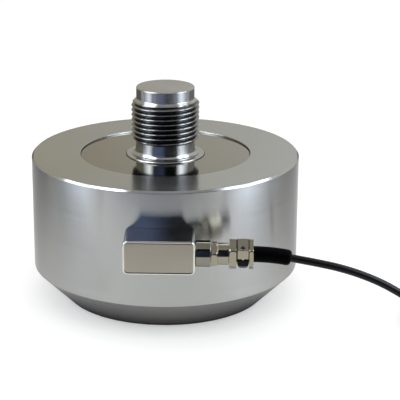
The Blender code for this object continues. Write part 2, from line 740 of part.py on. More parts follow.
def box_screw_head_top():
    return POCKET_FLOOR - SEAT_GAP


def box_screw_end():
    return BODY_RADIUS - BOX_SCREW_GRIP


def saddle_shell(name, inner, outer, box_frame):
    """A tube about the load axis, as high as the box, for what follows the body's round side."""
    half = BOX_HEIGHT / 2 + OVERRUN
    outline = [(inner, -half), (outer, -half), (outer, half), (inner, half)]
    shell = add(name, lathe(name, outline, 2 * BODY_FACETS), None, box_frame)
    shell.rotation_euler.x = -math.pi / 2
    return shell


def gasket_frame(name, spread, box_frame):
    """The four-sided frame of the gasket, made larger or smaller all round by the spread."""
    outer_width = BOX_WIDTH - 2 * GASKET_INSET
    outer_height = BOX_HEIGHT - 2 * GASKET_INSET
    low = BOX_BLANK_START - OVERRUN
    high = BOX_SEAT_RADIUS + GASKET_THICKNESS + OVERRUN
    corner = BOX_CORNER - GASKET_INSET
    outer = rounded_rectangle(outer_width + 2 * spread, outer_height + 2 * spread, corner + spread)
    frame = add(name, prism(name, outer, low, high), None, box_frame)
    thin = 2 * (GASKET_WIDTH + spread)
    inner = rectangle(
        -outer_width / 2 + thin / 2,
        outer_width / 2 - thin / 2,
        -outer_height / 2 + thin / 2,
        outer_height / 2 - thin / 2,
    )
    hole = f"{name}_inside"
    mesh = prism(hole, inner, low - OVERRUN, high + OVERRUN)
    boolean(frame, "DIFFERENCE", add(hole, mesh, None, box_frame))
    return frame


def junction_box(steel, rubber, screw_steel, plate_finish, box_frame):
    """The box with its saddle back, wire room, screw seats and front pocket, and what it holds."""
    seat = BOX_FRONT_CHAMFER
    full = rounded_rectangle(BOX_WIDTH, BOX_HEIGHT, BOX_CORNER)
    face = rounded_rectangle(BOX_WIDTH - 2 * seat, BOX_HEIGHT - 2 * seat, BOX_CORNER - seat)
    low = BOX_BLANK_START
    mesh = loft(
        "junction_box",
        [at_height(full, low), at_height(full, BOX_FRONT - seat), at_height(face, BOX_FRONT)],
    )
    box = add("junction_box", mesh, steel, box_frame)
    half = BOX_HEIGHT / 2 + OVERRUN
    mesh = prism("saddle_tool", circle(BOX_SEAT_RADIUS, 2 * BODY_FACETS), -half, half)
    column = add("saddle_tool", mesh, None, box_frame)
    column.rotation_euler.x = -math.pi / 2
    boolean(box, "DIFFERENCE", column)

    left = -(BOX_WIDTH / 2 - BOX_CAVITY_LEFT_MARGIN)
    right = BOX_WIDTH / 2 - BOX_CAVITY_RIGHT_MARGIN
    rise = BOX_CAVITY_HEIGHT / 2
    cavity_end = BOX_FRONT - BOX_FRONT_WALL
    cavity = prism("wire_room_tool", rectangle(left, right, -rise, rise), low - OVERRUN, cavity_end)
    boolean(box, "DIFFERENCE", add("wire_room_tool", cavity, None, box_frame))

    pocket_width = BOX_WIDTH - 2 * PLATE_MARGIN
    pocket_height = BOX_HEIGHT - 2 * PLATE_MARGIN
    pocket_corner = BOX_CORNER - PLATE_MARGIN
    pocket = rounded_rectangle(pocket_width, pocket_height, pocket_corner)
    mesh = prism("plate_pocket_tool", pocket, POCKET_FLOOR, BOX_FRONT + OVERRUN)
    boolean(box, "DIFFERENCE", add("plate_pocket_tool", mesh, None, box_frame))
    trim = 2 * SEAT_GAP
    outline = rounded_rectangle(pocket_width - trim, pocket_height - trim, pocket_corner - SEAT_GAP)
    mesh = prism("name_plate", outline, POCKET_FLOOR + SEAT_GAP, BOX_FRONT)
    add("name_plate", mesh, plate_finish, box_frame)

    head_top = box_screw_head_top()
    head_seat = head_top - BOX_SCREW_HEAD_HEIGHT - SEAT_GAP
    length = head_top - box_screw_end()
    screw = socket_screw("box_screw", BOX_SCREW_HEAD, BOX_SCREW_HEAD_HEIGHT, False, BOX_SCREW_THREAD, length)
    shank = BOX_SCREW_THREAD / 2 + SEAT_GAP
    head = BOX_SCREW_HEAD / 2 + SEAT_GAP
    seat_outline = [(0, low - OVERRUN), (shank, low - OVERRUN), (shank, head_seat), (head, head_seat)]
    seat_outline += [(head, BOX_FRONT), (0, BOX_FRONT)]
    for i, (x, y) in enumerate(box_screw_places(), 1):
        drill = lathe(f"box_screw_seat_{i}_tool", seat_outline, SCREW_FACETS)
        boolean(box, "DIFFERENCE", add(f"box_screw_seat_{i}_tool", drill, None, box_frame, (x, y, 0)))
        add(f"box_screw_{i}", screw, screw_steel, box_frame, (x, y, head_top))

    groove = gasket_frame("gasket_groove_tool", SEAT_GAP, box_frame)
    depth = GASKET_THICKNESS + SEAT_GAP
    shell = saddle_shell("groove_shell_tool", BOX_SEAT_RADIUS - OVERRUN, BOX_SEAT_RADIUS + depth, box_frame)
    boolean(groove, "INTERSECT", shell)
    boolean(box, "DIFFERENCE", groove)
    gasket = gasket_frame("box_gasket", 0, box_frame)
    gasket.data.materials.append(rubber)
    shell = saddle_shell("gasket_shell_tool", BOX_SEAT_RADIUS, BOX_SEAT_RADIUS + GASKET_THICKNESS, box_frame)
    boolean(gasket, "INTERSECT", shell)
    return box


def contact_places():
    angles = [math.tau * (i + 0.5) / CONTACTS for i in range(CONTACTS)]
    radius = CONTACT_CIRCLE / 2
    return [(radius * math.cos(a), radius * math.sin(a)) for a in angles]


def drilled_disc(name, diameter, low, high, hole, finish, frame):
    """An insulating disc with one hole for each contact."""
    disc = add(name, prism(name, circle(diameter / 2, CONNECTOR_FACETS), low, high), finish, frame)
    start = low - OVERRUN
    end = high + OVERRUN
    for i, (x, y) in enumerate(contact_places(), 1):
        tool = f"{name}_hole_{i}_tool"
        drill = cylinder_tool(tool, hole, start, end, CONTACT_FACETS, frame, (x, y, 0))
        boolean(disc, "DIFFERENCE", drill)
    return disc


def panel_connector(box, nickel, gold, insulator, rubber, frame):
    """The receptacle in the box's right side: shell, seal, insert and pins."""
    hole = NOSE_DIAMETER + 2 * SEAT_GAP
    nose_hole = cylinder_tool(
        "nose_hole_tool", hole, -NOSE_LENGTH - SEAT_GAP, OVERRUN, CONNECTOR_FACETS, frame
    )
    boolean(box, "DIFFERENCE", nose_hole)
    to_cavity = -BOX_CAVITY_RIGHT_MARGIN - WIRE_CHANNEL_BREAKTHROUGH
    channel = cylinder_tool("wire_channel_tool", WIRE_CHANNEL, to_cavity, 0, SCREW_FACETS, frame)
    boolean(box, "DIFFERENCE", channel)

    collar = COLLAR_DIAMETER / 2
    nose = NOSE_DIAMETER / 2
    seal_middle = (nose + SEAT_GAP + collar) / 2
    seal_half = PANEL_SEAL_CORD / 2 + SEAT_GAP
    groove_floor = PANEL_SEAL_CORD + 2 * SEAT_GAP
    outline = [
        (REAR_BORE / 2, -NOSE_LENGTH),
        (nose, -NOSE_LENGTH),
        (nose, COLLAR_START),
        (seal_middle - seal_half, COLLAR_START),
        (seal_middle - seal_half, groove_floor),
        (seal_middle + seal_half, groove_floor),
        (seal_middle + seal_half, COLLAR_START),
        (collar - COLLAR_CHAMFER / 2, COLLAR_START),
        (collar, COLLAR_START + COLLAR_CHAMFER),
        (collar, COLLAR_END - CONNECTOR_EDGE),
        (collar - CONNECTOR_EDGE, COLLAR_END),
        (SPIGOT_DIAMETER / 2, COLLAR_END),
        (SPIGOT_DIAMETER / 2, SPIGOT_END),
        (SPIGOT_BORE / 2, SPIGOT_END),
        (SPIGOT_BORE / 2, INSERT_SEAT),
        (REAR_BORE / 2, INSERT_SEAT),
    ]
    add("receptacle_shell", lathe("receptacle_shell", outline, CONNECTOR_FACETS), nickel, frame)
    cord = circle(PANEL_SEAL_CORD / 2, SEAL_FACETS, (seal_middle, SEAT_GAP + PANEL_SEAL_CORD / 2))
    add("receptacle_seal", lathe("receptacle_seal", cord, CONNECTOR_FACETS), rubber, frame)
    insert_low = INSERT_SEAT + SEAT_GAP
    hole = PIN_DIAMETER + 2 * CONTACT_GAP
    diameter = SPIGOT_BORE - 2 * SEAT_GAP
    drilled_disc("receptacle_insert", diameter, insert_low, INSERT_FACE, hole, insulator, frame)
    low = insert_low - PIN_TAIL
    tip = INSERT_FACE + PIN_REACH
    radius = PIN_DIAMETER / 2
    outline = [(0, low), (radius, low), (radius, tip - radius), (radius / 2, tip), (0, tip)]
    pin = lathe("contact_pin", outline, CONTACT_FACETS)
    for i, (x, y) in enumerate(contact_places(), 1):
        add(f"contact_pin_{i}", pin, gold, frame, (x, y, 0))


def wrench_section(blank_radius, height):
    """A round section cut by the ring's six flats, its first corner turned up from the front."""
    section = []
    for i in range(CONNECTOR_FACETS):
        along = math.tau * i / CONNECTOR_FACETS
        from_flat = along % math.radians(60) - math.radians(30)
        radius = min(blank_radius, RING_ACROSS_FLATS / 2 / math.cos(from_flat))
        angle = math.pi - RING_CORNER_TURN + along
        section.append((radius * math.cos(angle), radius * math.sin(angle), height))
    return section


def cable_plug(nickel, gold, insulator, frame):
    """The plug's coupling ring, inner barrel, insert and sockets."""
    blank = RING_DIAMETER / 2
    neck = RING_NECK_DIAMETER / 2
    bore = SPIGOT_DIAMETER / 2 + SEAT_GAP
    tail = BOOT_DIAMETER / 2
    lip = tail + SEAT_GAP
    neck_start = RING_START + RING_LENGTH
    sections = [
        wrench_section(blank - RING_EDGE, RING_START),
        wrench_section(blank, RING_START + RING_EDGE),
        wrench_section(blank, neck_start - RING_SHOULDER),
        wrench_section(neck, neck_start),
        wrench_section(neck, RING_END),
    ]
    ring = add("coupling_ring", loft("coupling_ring", sections), nickel, frame)
    outline = [
        (0, RING_START - OVERRUN),
        (bore, RING_START - OVERRUN),
        (bore, RING_END - RING_LIP),
        (lip, RING_END - RING_LIP),
        (lip, RING_END + OVERRUN),
        (0, RING_END + OVERRUN),
    ]
    inside = lathe("ring_inside_tool", outline, CONNECTOR_FACETS)
    boolean(ring, "DIFFERENCE", add("ring_inside_tool", inside, None, frame))

    barrel = SPIGOT_BORE / 2 - SEAT_GAP
    barrel_bore = barrel - PLUG_BARREL_WALL
    barrel_start = INSERT_FACE + 2 * SEAT_GAP
    flange_start = SPIGOT_END + SEAT_GAP
    flange_end = flange_start + PLUG_FLANGE_LENGTH
    tail_end = BOOT_START - SEAT_GAP
    outline = [
        (barrel_bore, barrel_start),
        (barrel, barrel_start),
        (barrel, flange_start),
        (SPIGOT_DIAMETER / 2, flange_start),
        (SPIGOT_DIAMETER / 2, flange_end),
        (tail, flange_end),
        (tail, tail_end),
        (barrel_bore, tail_end),
    ]
    add("plug_shell", lathe("plug_shell", outline, CONNECTOR_FACETS), nickel, frame)

    face = barrel_start + PLUG_INSERT_SETBACK
    hole = SOCKET_DIAMETER + 2 * CONTACT_GAP
    diameter = 2 * (barrel_bore - SEAT_GAP)
    drilled_disc("plug_insert", diameter, face, face + PLUG_INSERT_LENGTH, hole, insulator, frame)
    low = face + SOCKET_SETBACK
    inside = PIN_DIAMETER / 2 + CONTACT_GAP
    outside = SOCKET_DIAMETER / 2
    outline = [
        (0, low + SOCKET_BORE_DEPTH),
        (inside, low + SOCKET_BORE_DEPTH),
        (inside, low),
        (outside, low),
        (outside, low + SOCKET_LENGTH),
        (0, low + SOCKET_LENGTH),
    ]
    socket = lathe("socket_contact", outline, CONTACT_FACETS)
    for i, (x, y) in enumerate(contact_places(), 1):
        add(f"socket_contact_{i}", socket, gold, frame, (x, y, 0))


def cable_clamp(nickel, dark, screw_steel, frame):
    """The six-sided back shell, and in its window the saddle above and the shoe below the boot.
    In this frame x points to the back, y up and z along the plug."""
    start_radius = CLAMP_ACROSS_FLATS / 2 - CLAMP_END_CHAMFER
    blank_radius = start_radius + CLAMP_TAPER
    blank = [
        (0, CLAMP_START),
        (start_radius, CLAMP_START),
        (blank_radius, CLAMP_START + CLAMP_TAPER),
        (blank_radius, CLAMP_END - CLAMP_END_CHAMFER),
        (blank_radius - CLAMP_END_CHAMFER, CLAMP_END),
        (0, CLAMP_END),
    ]
    six_sided = hexagon(CLAMP_ACROSS_FLATS)
    mesh = prism("clamp_body", six_sided, CLAMP_START - OVERRUN, CLAMP_END + OVERRUN)
    body = add("clamp_body", mesh, nickel, frame)
    mesh = lathe("clamp_blank_tool", blank, 2 * CONNECTOR_FACETS)
    boolean(body, "INTERSECT", add("clamp_blank_tool", mesh, None, frame))
    low = CLAMP_START - 2 * OVERRUN
    high = CLAMP_END + 2 * OVERRUN
    bore = cylinder_tool("clamp_bore_tool", CLAMP_BORE, low, high, CONNECTOR_FACETS, frame)
    boolean(body, "DIFFERENCE", bore)
    beyond = CLAMP_ACROSS_FLATS
    link_top = -SADDLE_DROP - SEAT_GAP
    window = [
        (-beyond, -beyond),
        (LINK_SETBACK, -beyond),
        (LINK_SETBACK, link_top),
        (beyond, link_top),
        (beyond, beyond),
        (-beyond, beyond),
    ]
    mesh = prism("clamp_window_tool", window, WINDOW_START, WINDOW_END)
    boolean(body, "DIFFERENCE", add("clamp_window_tool", mesh, None, frame))

    saddle_low = WINDOW_START + SADDLE_END_GAP
    saddle = prism("clamp_saddle", six_sided, saddle_low, saddle_low + SADDLE_LENGTH)
    saddle = add("clamp_saddle", saddle, nickel, frame)
    lower_half = rectangle(-beyond, beyond, -beyond, -SADDLE_DROP)
    lower_half = prism("saddle_half_tool", lower_half, WINDOW_START - OVERRUN, WINDOW_END + OVERRUN)
    boolean(saddle, "DIFFERENCE", add("saddle_half_tool", lower_half, None, frame))
    boolean(saddle, "DIFFERENCE", bore)

    middle = saddle_low + SADDLE_LENGTH / 2
    shoe_top = -SHOE_DROP
    shoe_foot = shoe_top - SHOE_HEIGHT
    shoe_outline = [
        (-SHOE_TOP_LENGTH / 2, shoe_top),
        (-SHOE_TOP_LENGTH / 2, shoe_top - SHOE_SIDE),
        (-SHOE_FOOT_LENGTH / 2, shoe_foot + SHOE_CHAMFER),
        (-SHOE_FOOT_LENGTH / 2 + SHOE_CHAMFER, shoe_foot),
        (SHOE_FOOT_LENGTH / 2 - SHOE_CHAMFER, shoe_foot),
        (SHOE_FOOT_LENGTH / 2, shoe_foot + SHOE_CHAMFER),
        (SHOE_TOP_LENGTH / 2, shoe_top - SHOE_SIDE),
        (SHOE_TOP_LENGTH / 2, shoe_top),
    ]
    front = -(CLAMP_ACROSS_FLATS / 2 - SEAT_GAP)
    back = LINK_SETBACK - SEAT_GAP
    sections = [[(depth, rise, middle + along) for along, rise in shoe_outline] for depth in (front, back)]
    shoe = add("clamp_shoe", loft("clamp_shoe", sections), dark, frame)
    inner_hexagon = hexagon(CLAMP_ACROSS_FLATS - SEAT_GAP)
    limit = prism("shoe_limit_tool", inner_hexagon, WINDOW_START, WINDOW_END)
    boolean(shoe, "INTERSECT", add("shoe_limit_tool", limit, None, frame))
    boolean(shoe, "DIFFERENCE", bore)

    head_height = CLAMP_SCREW_HEAD_HEIGHT
    thread = CLAMP_SCREW_THREAD
    screw = socket_screw("clamp_screw", CLAMP_SCREW_HEAD, head_height, False, thread, CLAMP_SCREW_LENGTH)
    head_top = CLAMP_SCREW_SEAT + SEAT_GAP + head_height
    shank = CLAMP_SCREW_THREAD / 2 + SEAT_GAP
    head = CLAMP_SCREW_HEAD / 2 + SEAT_GAP
    drill_foot = head_top - CLAMP_SCREW_LENGTH - SEAT_GAP
    drill = [
        (0, drill_foot),
        (shank, drill_foot),
        (shank, CLAMP_SCREW_SEAT),
        (head, CLAMP_SCREW_SEAT),
        (head, CLAMP_ACROSS_FLATS),
        (0, CLAMP_ACROSS_FLATS),
    ]
    for i, (offset, under) in enumerate(((-CLAMP_SCREW_OFFSET, shoe), (CLAMP_SCREW_OFFSET, body)), 1):
        tool = lathe(f"clamp_drill_{i}_tool", drill, SCREW_FACETS)
        tool = add(f"clamp_drill_{i}_tool", tool, None, frame, (offset, 0, middle))
        tool.rotation_euler.x = -math.pi / 2
        boolean(saddle, "DIFFERENCE", tool)
        boolean(under, "DIFFERENCE", tool)
        piece = add(f"clamp_screw_{i}", screw, screw_steel, frame, (offset, head_top, middle))
        piece.rotation_euler.x = -math.pi / 2


def boot_route(start, end, stations):
    """Points along the boot's middle, straight in the clamp and then drooping as a parabola."""
    origin = Vector((BOX_WIDTH / 2, -(BOX_FRONT - CONNECTOR_SETBACK), BOX_CENTRE_Z))
    route = []
    for i in range(stations):
        along = start + (end - start) * i / (stations - 1)
        past = max(0.0, along - CLAMP_END)
        route.append(origin + Vector((along, 0, -BOOT_DROOP * (past / BOOT_LENGTH) ** 2)))
    return route


def cable_boot(rubber):
    """The sleeve on the cable, round at its free end."""
    end = CLAMP_END + BOOT_LENGTH
    rounding = ((1.2, 1.0), (0.7, 0.97), (0.3, 0.9), (0.0, 0.78))
    route = boot_route(BOOT_START, end - BOOT_ROUNDING, BOOT_STATIONS)
    taper = [1.0] * len(route)
    for back, share in rounding:
        route += boot_route(end - back * MM, end - back * MM + MM, 2)[:1]
        taper.append(share)
    boot = add("cable_boot", tube_mesh("cable_boot", route, BOOT_DIAMETER, 4, taper), rubber)
    hole = boot_route(BOOT_START - OVERRUN, end + OVERRUN, BOOT_STATIONS)
    tool = tube_mesh("boot_hole_tool", hole, CABLE_DIAMETER + 2 * SEAT_GAP, 3)
    boolean(boot, "DIFFERENCE", add("boot_hole_tool", tool, None))


def cable(rubber):
    """The lead from the plug down to the coil."""
    chosen = [Vector(point) * MM for point in CABLE_ROUTE]
    tube("cable", smooth_route(chosen, 2.2 * CABLE_DIAMETER), CABLE_DIAMETER, 3, rubber)


def coil_section():
    """Inner and outer radius, and lowest and highest z, of the wound turns."""
    spread = COIL_TURNS / COIL_LAYERS * CABLE_DIAMETER
    inner = (COIL_MID_DIAMETER - spread - CABLE_DIAMETER) / 2
    outer = (COIL_MID_DIAMETER + spread + CABLE_DIAMETER) / 2
    low = TIE_THICKNESS + SEAT_GAP
    return inner, outer, low, low + COIL_LAYERS * CABLE_DIAMETER


def coil_and_ties(rubber, strap):
    """The spare cable as one turned ring, and the two straps round it."""
    inner, outer, low, high = coil_section()
    soft = 2 * MM
    outline = [
        (inner + soft, low),
        (outer - soft, low),
        (outer, low + soft),
        (outer, high - soft),
        (outer - soft, high),
        (inner + soft, high),
        (inner, high - soft),
        (inner, low + soft),
    ]
    centre = (COIL_CENTRE_X, COIL_CENTRE_Y, 0)
    add("cable_coil", lathe("cable_coil", outline, COIL_FACETS), rubber, None, centre)
    bulge = (TIE_WIDTH / 2) ** 2 / inner
    tie_inner = inner - bulge - SEAT_GAP
    tie_outer = outer + SEAT_GAP
    half_width = (tie_outer - tie_inner) / 2 + TIE_THICKNESS
    height = high - low + 2 * (SEAT_GAP + TIE_THICKNESS)
    corner = 2.4 * MM
    outside = rounded_rectangle(2 * half_width, height, corner, 2)
    thin = 2 * TIE_THICKNESS
    inside = rounded_rectangle(2 * half_width - thin, height - thin, corner - TIE_THICKNESS, 2)
    for i, angle in enumerate(TIE_ANGLES, 1):
        along, across = math.cos(angle), math.sin(angle)
        turn = Matrix(((along, 0, across), (across, 0, -along), (0, 1, 0)))
        middle = (tie_inner + tie_outer) / 2
        place = (COIL_CENTRE_X + middle * along, COIL_CENTRE_Y + middle * across, height / 2)
        frame = empty(f"tie_frame_{i}", place, turn)
        name = f"coil_tie_{i}"
        tie = add(name, prism(name, outside, -TIE_WIDTH / 2, TIE_WIDTH / 2), strap, frame)
        tool = f"tie_inside_{i}_tool"
        hole = prism(tool, inside, -TIE_WIDTH, TIE_WIDTH)
        boolean(tie, "DIFFERENCE", add(tool, hole, None, frame))


def instrument_plug(nickel, insulator, rubber):
    """The plug at the far end, lying on the surface beside the coil and pointing to the back."""
    spread = COIL_TURNS / COIL_LAYERS * CABLE_DIAMETER
    exit_x = COIL_CENTRE_X + (COIL_MID_DIAMETER + spread) / 2
    start = Vector((exit_x, COIL_CENTRE_Y + END_PLUG_START, END_PLUG_RING_DIAMETER / 2))
    turn = Matrix(((-1, 0, 0), (0, 0, 1), (0, 1, 0)))
    frame = empty("end_plug_frame", start, turn)
    cable_hole = CABLE_DIAMETER / 2 + SEAT_GAP
    tail = END_PLUG_TAIL_DIAMETER / 2
    shell = END_PLUG_SHELL_DIAMETER / 2
    bore = END_PLUG_BORE / 2
    shell_start = END_PLUG_BOOT_LENGTH + SEAT_GAP
    shell_end = shell_start + END_PLUG_SHELL_LENGTH
    outline = [
        (cable_hole, 0),
        (END_PLUG_BOOT_TIP / 2, 0),
        (tail, END_PLUG_BOOT_LENGTH - END_PLUG_CONE),
        (tail, END_PLUG_BOOT_LENGTH),
        (cable_hole, END_PLUG_BOOT_LENGTH),
    ]
    add("instrument_plug_boot", lathe("instrument_plug_boot", outline, SCREW_FACETS), rubber, frame)
    thread = shell - END_PLUG_WALL
    insert_seat = shell_end - END_PLUG_INSERT_LENGTH
    ring_start = shell_end - END_PLUG_RING_LENGTH + END_PLUG_RING_OVERHANG
    outline = [
        (cable_hole, shell_start),
        (tail, shell_start),
        (shell, shell_start + END_PLUG_CONE),
        (shell, ring_start - SEAT_GAP),
        (thread, ring_start - SEAT_GAP),
        (thread, shell_end),
        (bore, shell_end),
        (bore, insert_seat),
        (cable_hole, insert_seat),
    ]
    add("instrument_plug_shell", lathe("instrument_plug_shell", outline, CONNECTOR_FACETS), nickel, frame)
    ring = END_PLUG_RING_DIAMETER / 2
    ring_end = ring_start + END_PLUG_RING_LENGTH
    outline = [
        (thread + SEAT_GAP, ring_start),
        (ring - END_PLUG_EDGE, ring_start),
        (ring, ring_start + END_PLUG_EDGE),
        (ring, ring_end - END_PLUG_EDGE),
        (ring - END_PLUG_EDGE, ring_end),
        (thread + SEAT_GAP, ring_end),
    ]
    add("instrument_plug_ring", lathe("instrument_plug_ring", outline, CONNECTOR_FACETS), nickel, frame)
    insert_end = ring_end - END_PLUG_INSERT_SETBACK
    outline = [
        (0, insert_seat + SEAT_GAP),
        (bore - SEAT_GAP, insert_seat + SEAT_GAP),
        (bore - SEAT_GAP, insert_end),
        (0, insert_end),
    ]
    mesh = lathe("instrument_plug_insert", outline, CONNECTOR_FACETS)
    add("instrument_plug_insert", mesh, insulator, frame)


def build():
    for thing in list(bpy.data.objects):
        bpy.data.objects.remove(thing)
    steel = material("plated_steel", (0.42, 0.43, 0.44), 0.2, 1.0)
    sheet = material("diaphragm_sheet", (0.38, 0.36, 0.31), 0.15, 1.0)
    dark_steel = material("blackened_steel", (0.03, 0.03, 0.03), 0.4, 1.0)
    plate = material("satin_plate", (0.24, 0.23, 0.20), 0.45, 1.0)
    nickel = material("nickelled_brass", (0.58, 0.55, 0.48), 0.22, 1.0)
    gold = material("gilt_contact", (0.80, 0.58, 0.25), 0.25, 1.0)
    rubber = material("black_rubber", (0.012, 0.012, 0.013), 0.55, 0.0)
    insulator = material("black_insulator", (0.02, 0.02, 0.02), 0.45, 0.0)
    foil = material("gauge_foil", (0.55, 0.33, 0.10), 0.4, 0.0)
    board = material("green_board", (0.02, 0.12, 0.05), 0.4, 0.0)
    strap = material("nylon_strap", (0.02, 0.02, 0.02), 0.5, 0.0)

    box_turn = Matrix(((1, 0, 0), (0, 0, -1), (0, 1, 0)))
    box_frame = empty("box_frame", (0, 0, BOX_CENTRE_Z), box_turn)
    plug_turn = Matrix(((0, 0, 1), (1, 0, 0), (0, 1, 0)))
    plug_place = (BOX_WIDTH / 2, -(BOX_FRONT - CONNECTOR_SETBACK), BOX_CENTRE_Z)
    plug_frame = empty("plug_frame", plug_place, plug_turn)
    bpy.context.view_layer.update()

    elastic_body(steel, box_frame)
    top_diaphragm(sheet)
    base_cover(steel, rubber, dark_steel)
    gauges_and_board(foil, board, insulator)
    signal_wires(rubber, rubber, box_frame)
    box = junction_box(steel, rubber, dark_steel, plate, box_frame)
    panel_connector(box, nickel, gold, insulator, rubber, plug_frame)
    cable_plug(nickel, gold, insulator, plug_frame)
    cable_clamp(nickel, rubber, dark_steel, plug_frame)
    cable_boot(rubber)
    cable(rubber)
    coil_and_ties(rubber, strap)
    instrument_plug(nickel, insulator, rubber)
    bpy.context.view_layer.update()


build()
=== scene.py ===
# %% [markdown]
# A force transducer in turned steel.
#
# A load cell like this one is mostly one piece of bright turned steel: a heavy ring, a thin web inside
# it and a threaded stud that takes the load. A small box on the front joins the strain gauges to a
# round plug and its cable. There is little colour in it, so nearly all of the likeness comes from true
# profiles, from fine rounded edges that catch the light, and from what the metal has to reflect.
#
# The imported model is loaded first. Blender counts in metres. Profiles and the pieces' own sizes are
# written in plain millimetres, which the mesh functions turn to metres, and a value that is written
# with MM is in metres already. +Z is up, the load axis is at x = y = 0, the box faces -Y and the plug
# leaves towards +X.

# %% Frame and units
import json

import bmesh
import bpy
import numpy as np
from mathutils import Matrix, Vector

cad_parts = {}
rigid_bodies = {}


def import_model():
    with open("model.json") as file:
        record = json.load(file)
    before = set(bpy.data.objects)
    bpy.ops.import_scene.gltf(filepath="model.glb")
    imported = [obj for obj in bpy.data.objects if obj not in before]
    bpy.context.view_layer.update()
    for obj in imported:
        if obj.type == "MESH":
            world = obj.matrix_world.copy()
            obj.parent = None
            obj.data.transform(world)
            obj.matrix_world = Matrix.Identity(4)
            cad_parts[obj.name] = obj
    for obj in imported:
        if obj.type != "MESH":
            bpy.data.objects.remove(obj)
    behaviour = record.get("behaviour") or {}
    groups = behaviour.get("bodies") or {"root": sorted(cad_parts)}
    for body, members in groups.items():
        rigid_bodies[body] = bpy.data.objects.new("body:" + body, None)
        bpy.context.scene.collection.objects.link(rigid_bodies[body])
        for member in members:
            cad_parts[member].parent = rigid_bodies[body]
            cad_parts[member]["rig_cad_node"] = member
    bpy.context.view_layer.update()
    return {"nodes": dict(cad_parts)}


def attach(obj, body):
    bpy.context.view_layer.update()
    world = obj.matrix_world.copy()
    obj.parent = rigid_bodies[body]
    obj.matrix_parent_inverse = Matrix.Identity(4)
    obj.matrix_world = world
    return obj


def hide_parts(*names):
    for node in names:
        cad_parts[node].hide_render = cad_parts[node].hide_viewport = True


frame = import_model()
MM = 0.001

# %% [markdown]
# The camera comes first, because the cable has to lie where it doesn't see the coil. A pinhole camera
# was fitted to the body's outline in the photograph: it stands 0.86 m away and 0.34 m above the
# surface, looks down by 18 degrees and is turned 2 degrees to the right of the box. The object sits a
# little left of the middle of the picture, and the sensor shift says how much.

# %% Camera
CAMERA_DISTANCE = 864.7 * MM
CAMERA_HEIGHT = 340.5 * MM
CAMERA_TURN = np.radians(2.05)
CAMERA_PITCH = 0.3154
FOCAL_PIXELS = 1452.1
IMAGE_PIXELS = 400
AXIS_PIXEL_X = 165.36
SENSOR_WIDTH = 36.0
NEAREST_SEEN = 0.01
FARTHEST_SEEN = 20


def new_object(name, data):
    """An object made of the given data, in the scene."""
    made = bpy.data.objects.new(name, data)
    bpy.context.scene.collection.objects.link(made)
    return made


def place_camera():
    """A camera at (distance, turn, height) that looks down by the pitch angle, which is in radians.
    The lens is the focal length in pixels times the sensor's width over the image's width."""
    data = bpy.data.cameras.new("camera")
    data.sensor_width = SENSOR_WIDTH
    data.lens = FOCAL_PIXELS * SENSOR_WIDTH / IMAGE_PIXELS
    data.shift_x = (IMAGE_PIXELS / 2 - AXIS_PIXEL_X) / IMAGE_PIXELS
    data.clip_start = NEAREST_SEEN
    data.clip_end = FARTHEST_SEEN
    camera = new_object("camera", data)
    side, ahead = np.sin(CAMERA_TURN), np.cos(CAMERA_TURN)
    camera.location = (CAMERA_DISTANCE * side, -CAMERA_DISTANCE * ahead, CAMERA_HEIGHT)
    look = Vector((-side * np.cos(CAMERA_PITCH), ahead * np.cos(CAMERA_PITCH), -np.sin(CAMERA_PITCH)))
    camera.rotation_euler = look.to_track_quat("-Z", "Y").to_euler()
    bpy.context.scene.camera = camera
    return camera


camera = place_camera()
print("lens", round(camera.data.lens, 2), "mm, shift", round(camera.data.shift_x, 4))

# %% [markdown]
# Materials need a few small helpers. Colours are written as the hex values that one reads off a
# picture, which are sRGB, and Blender wants linear light, so one function turns them. Another adds a
# node with its settings and its links, so that a material reads as a list of what it is made of. A
# third turns the size of a grain in millimetres to the scale that a noise texture wants, which is how
# many grains go into a metre.

# %% Colour and node helpers
def linear(hex_colour):
    """sRGB hex to linear: each channel over 255, then ((c + 0.055) / 1.055) to the power 2.4,
    or c / 12.92 where it is dark."""
    channels = np.array([int(hex_colour[i : i + 2], 16) for i in (0, 2, 4)]) / 255
    light = np.where(channels <= 0.04045, channels / 12.92, ((channels + 0.055) / 1.055) ** 2.4)
    return (*[float(value) for value in light], 1.0)


def per_metre(grain_mm):
    """The scale of a noise whose grains are so many millimetres across."""
    return 1 / (grain_mm * MM)


def add_node(tree, kind, settings=None, **inputs):
    """Adds a node, sets its properties, and gives each named input a value or a link from an output.
    In an input's name, _ stands for a space, and in0, in1 and so on count the inputs instead."""
    node = tree.nodes.new(kind)
    for key, value in (settings or {}).items():
        setattr(node, key, value)
    for key, value in inputs.items():
        counted = key.startswith("in") and key[2:].isdigit()
        socket = node.inputs[int(key[2:])] if counted else node.inputs[key.replace("_", " ")]
        if isinstance(value, bpy.types.NodeSocket):
            tree.links.new(value, socket)
        else:
            socket.default_value = value
    return node


print("the grey 808080 is", round(linear("808080")[0], 3), "in linear light")

# %% [markdown]
# Every finish starts as one Principled shader with its plain values, to which its own patterns are
# added. And every finished piece is handed over in the same way: it gets its one material, and it
# rides on a body of the imported model.

# %% Plain materials and dressing
def new_material(name, colour, roughness, metallic=0.0, ior=None, specular=None):
    """A material with one Principled shader; returns it, its node tree and the shader."""
    material = bpy.data.materials.new(name)
    material.use_nodes = True
    tree = material.node_tree
    shader = tree.nodes["Principled BSDF"]
    shader.inputs["Base Color"].default_value = linear(colour)
    shader.inputs["Roughness"].default_value = roughness
    shader.inputs["Metallic"].default_value = metallic
    if ior is not None:
        shader.inputs["IOR"].default_value = ior
    if specular is not None:
        shader.inputs["Specular IOR Level"].default_value = specular
    material.diffuse_color = linear(colour)
    return material, tree, shader


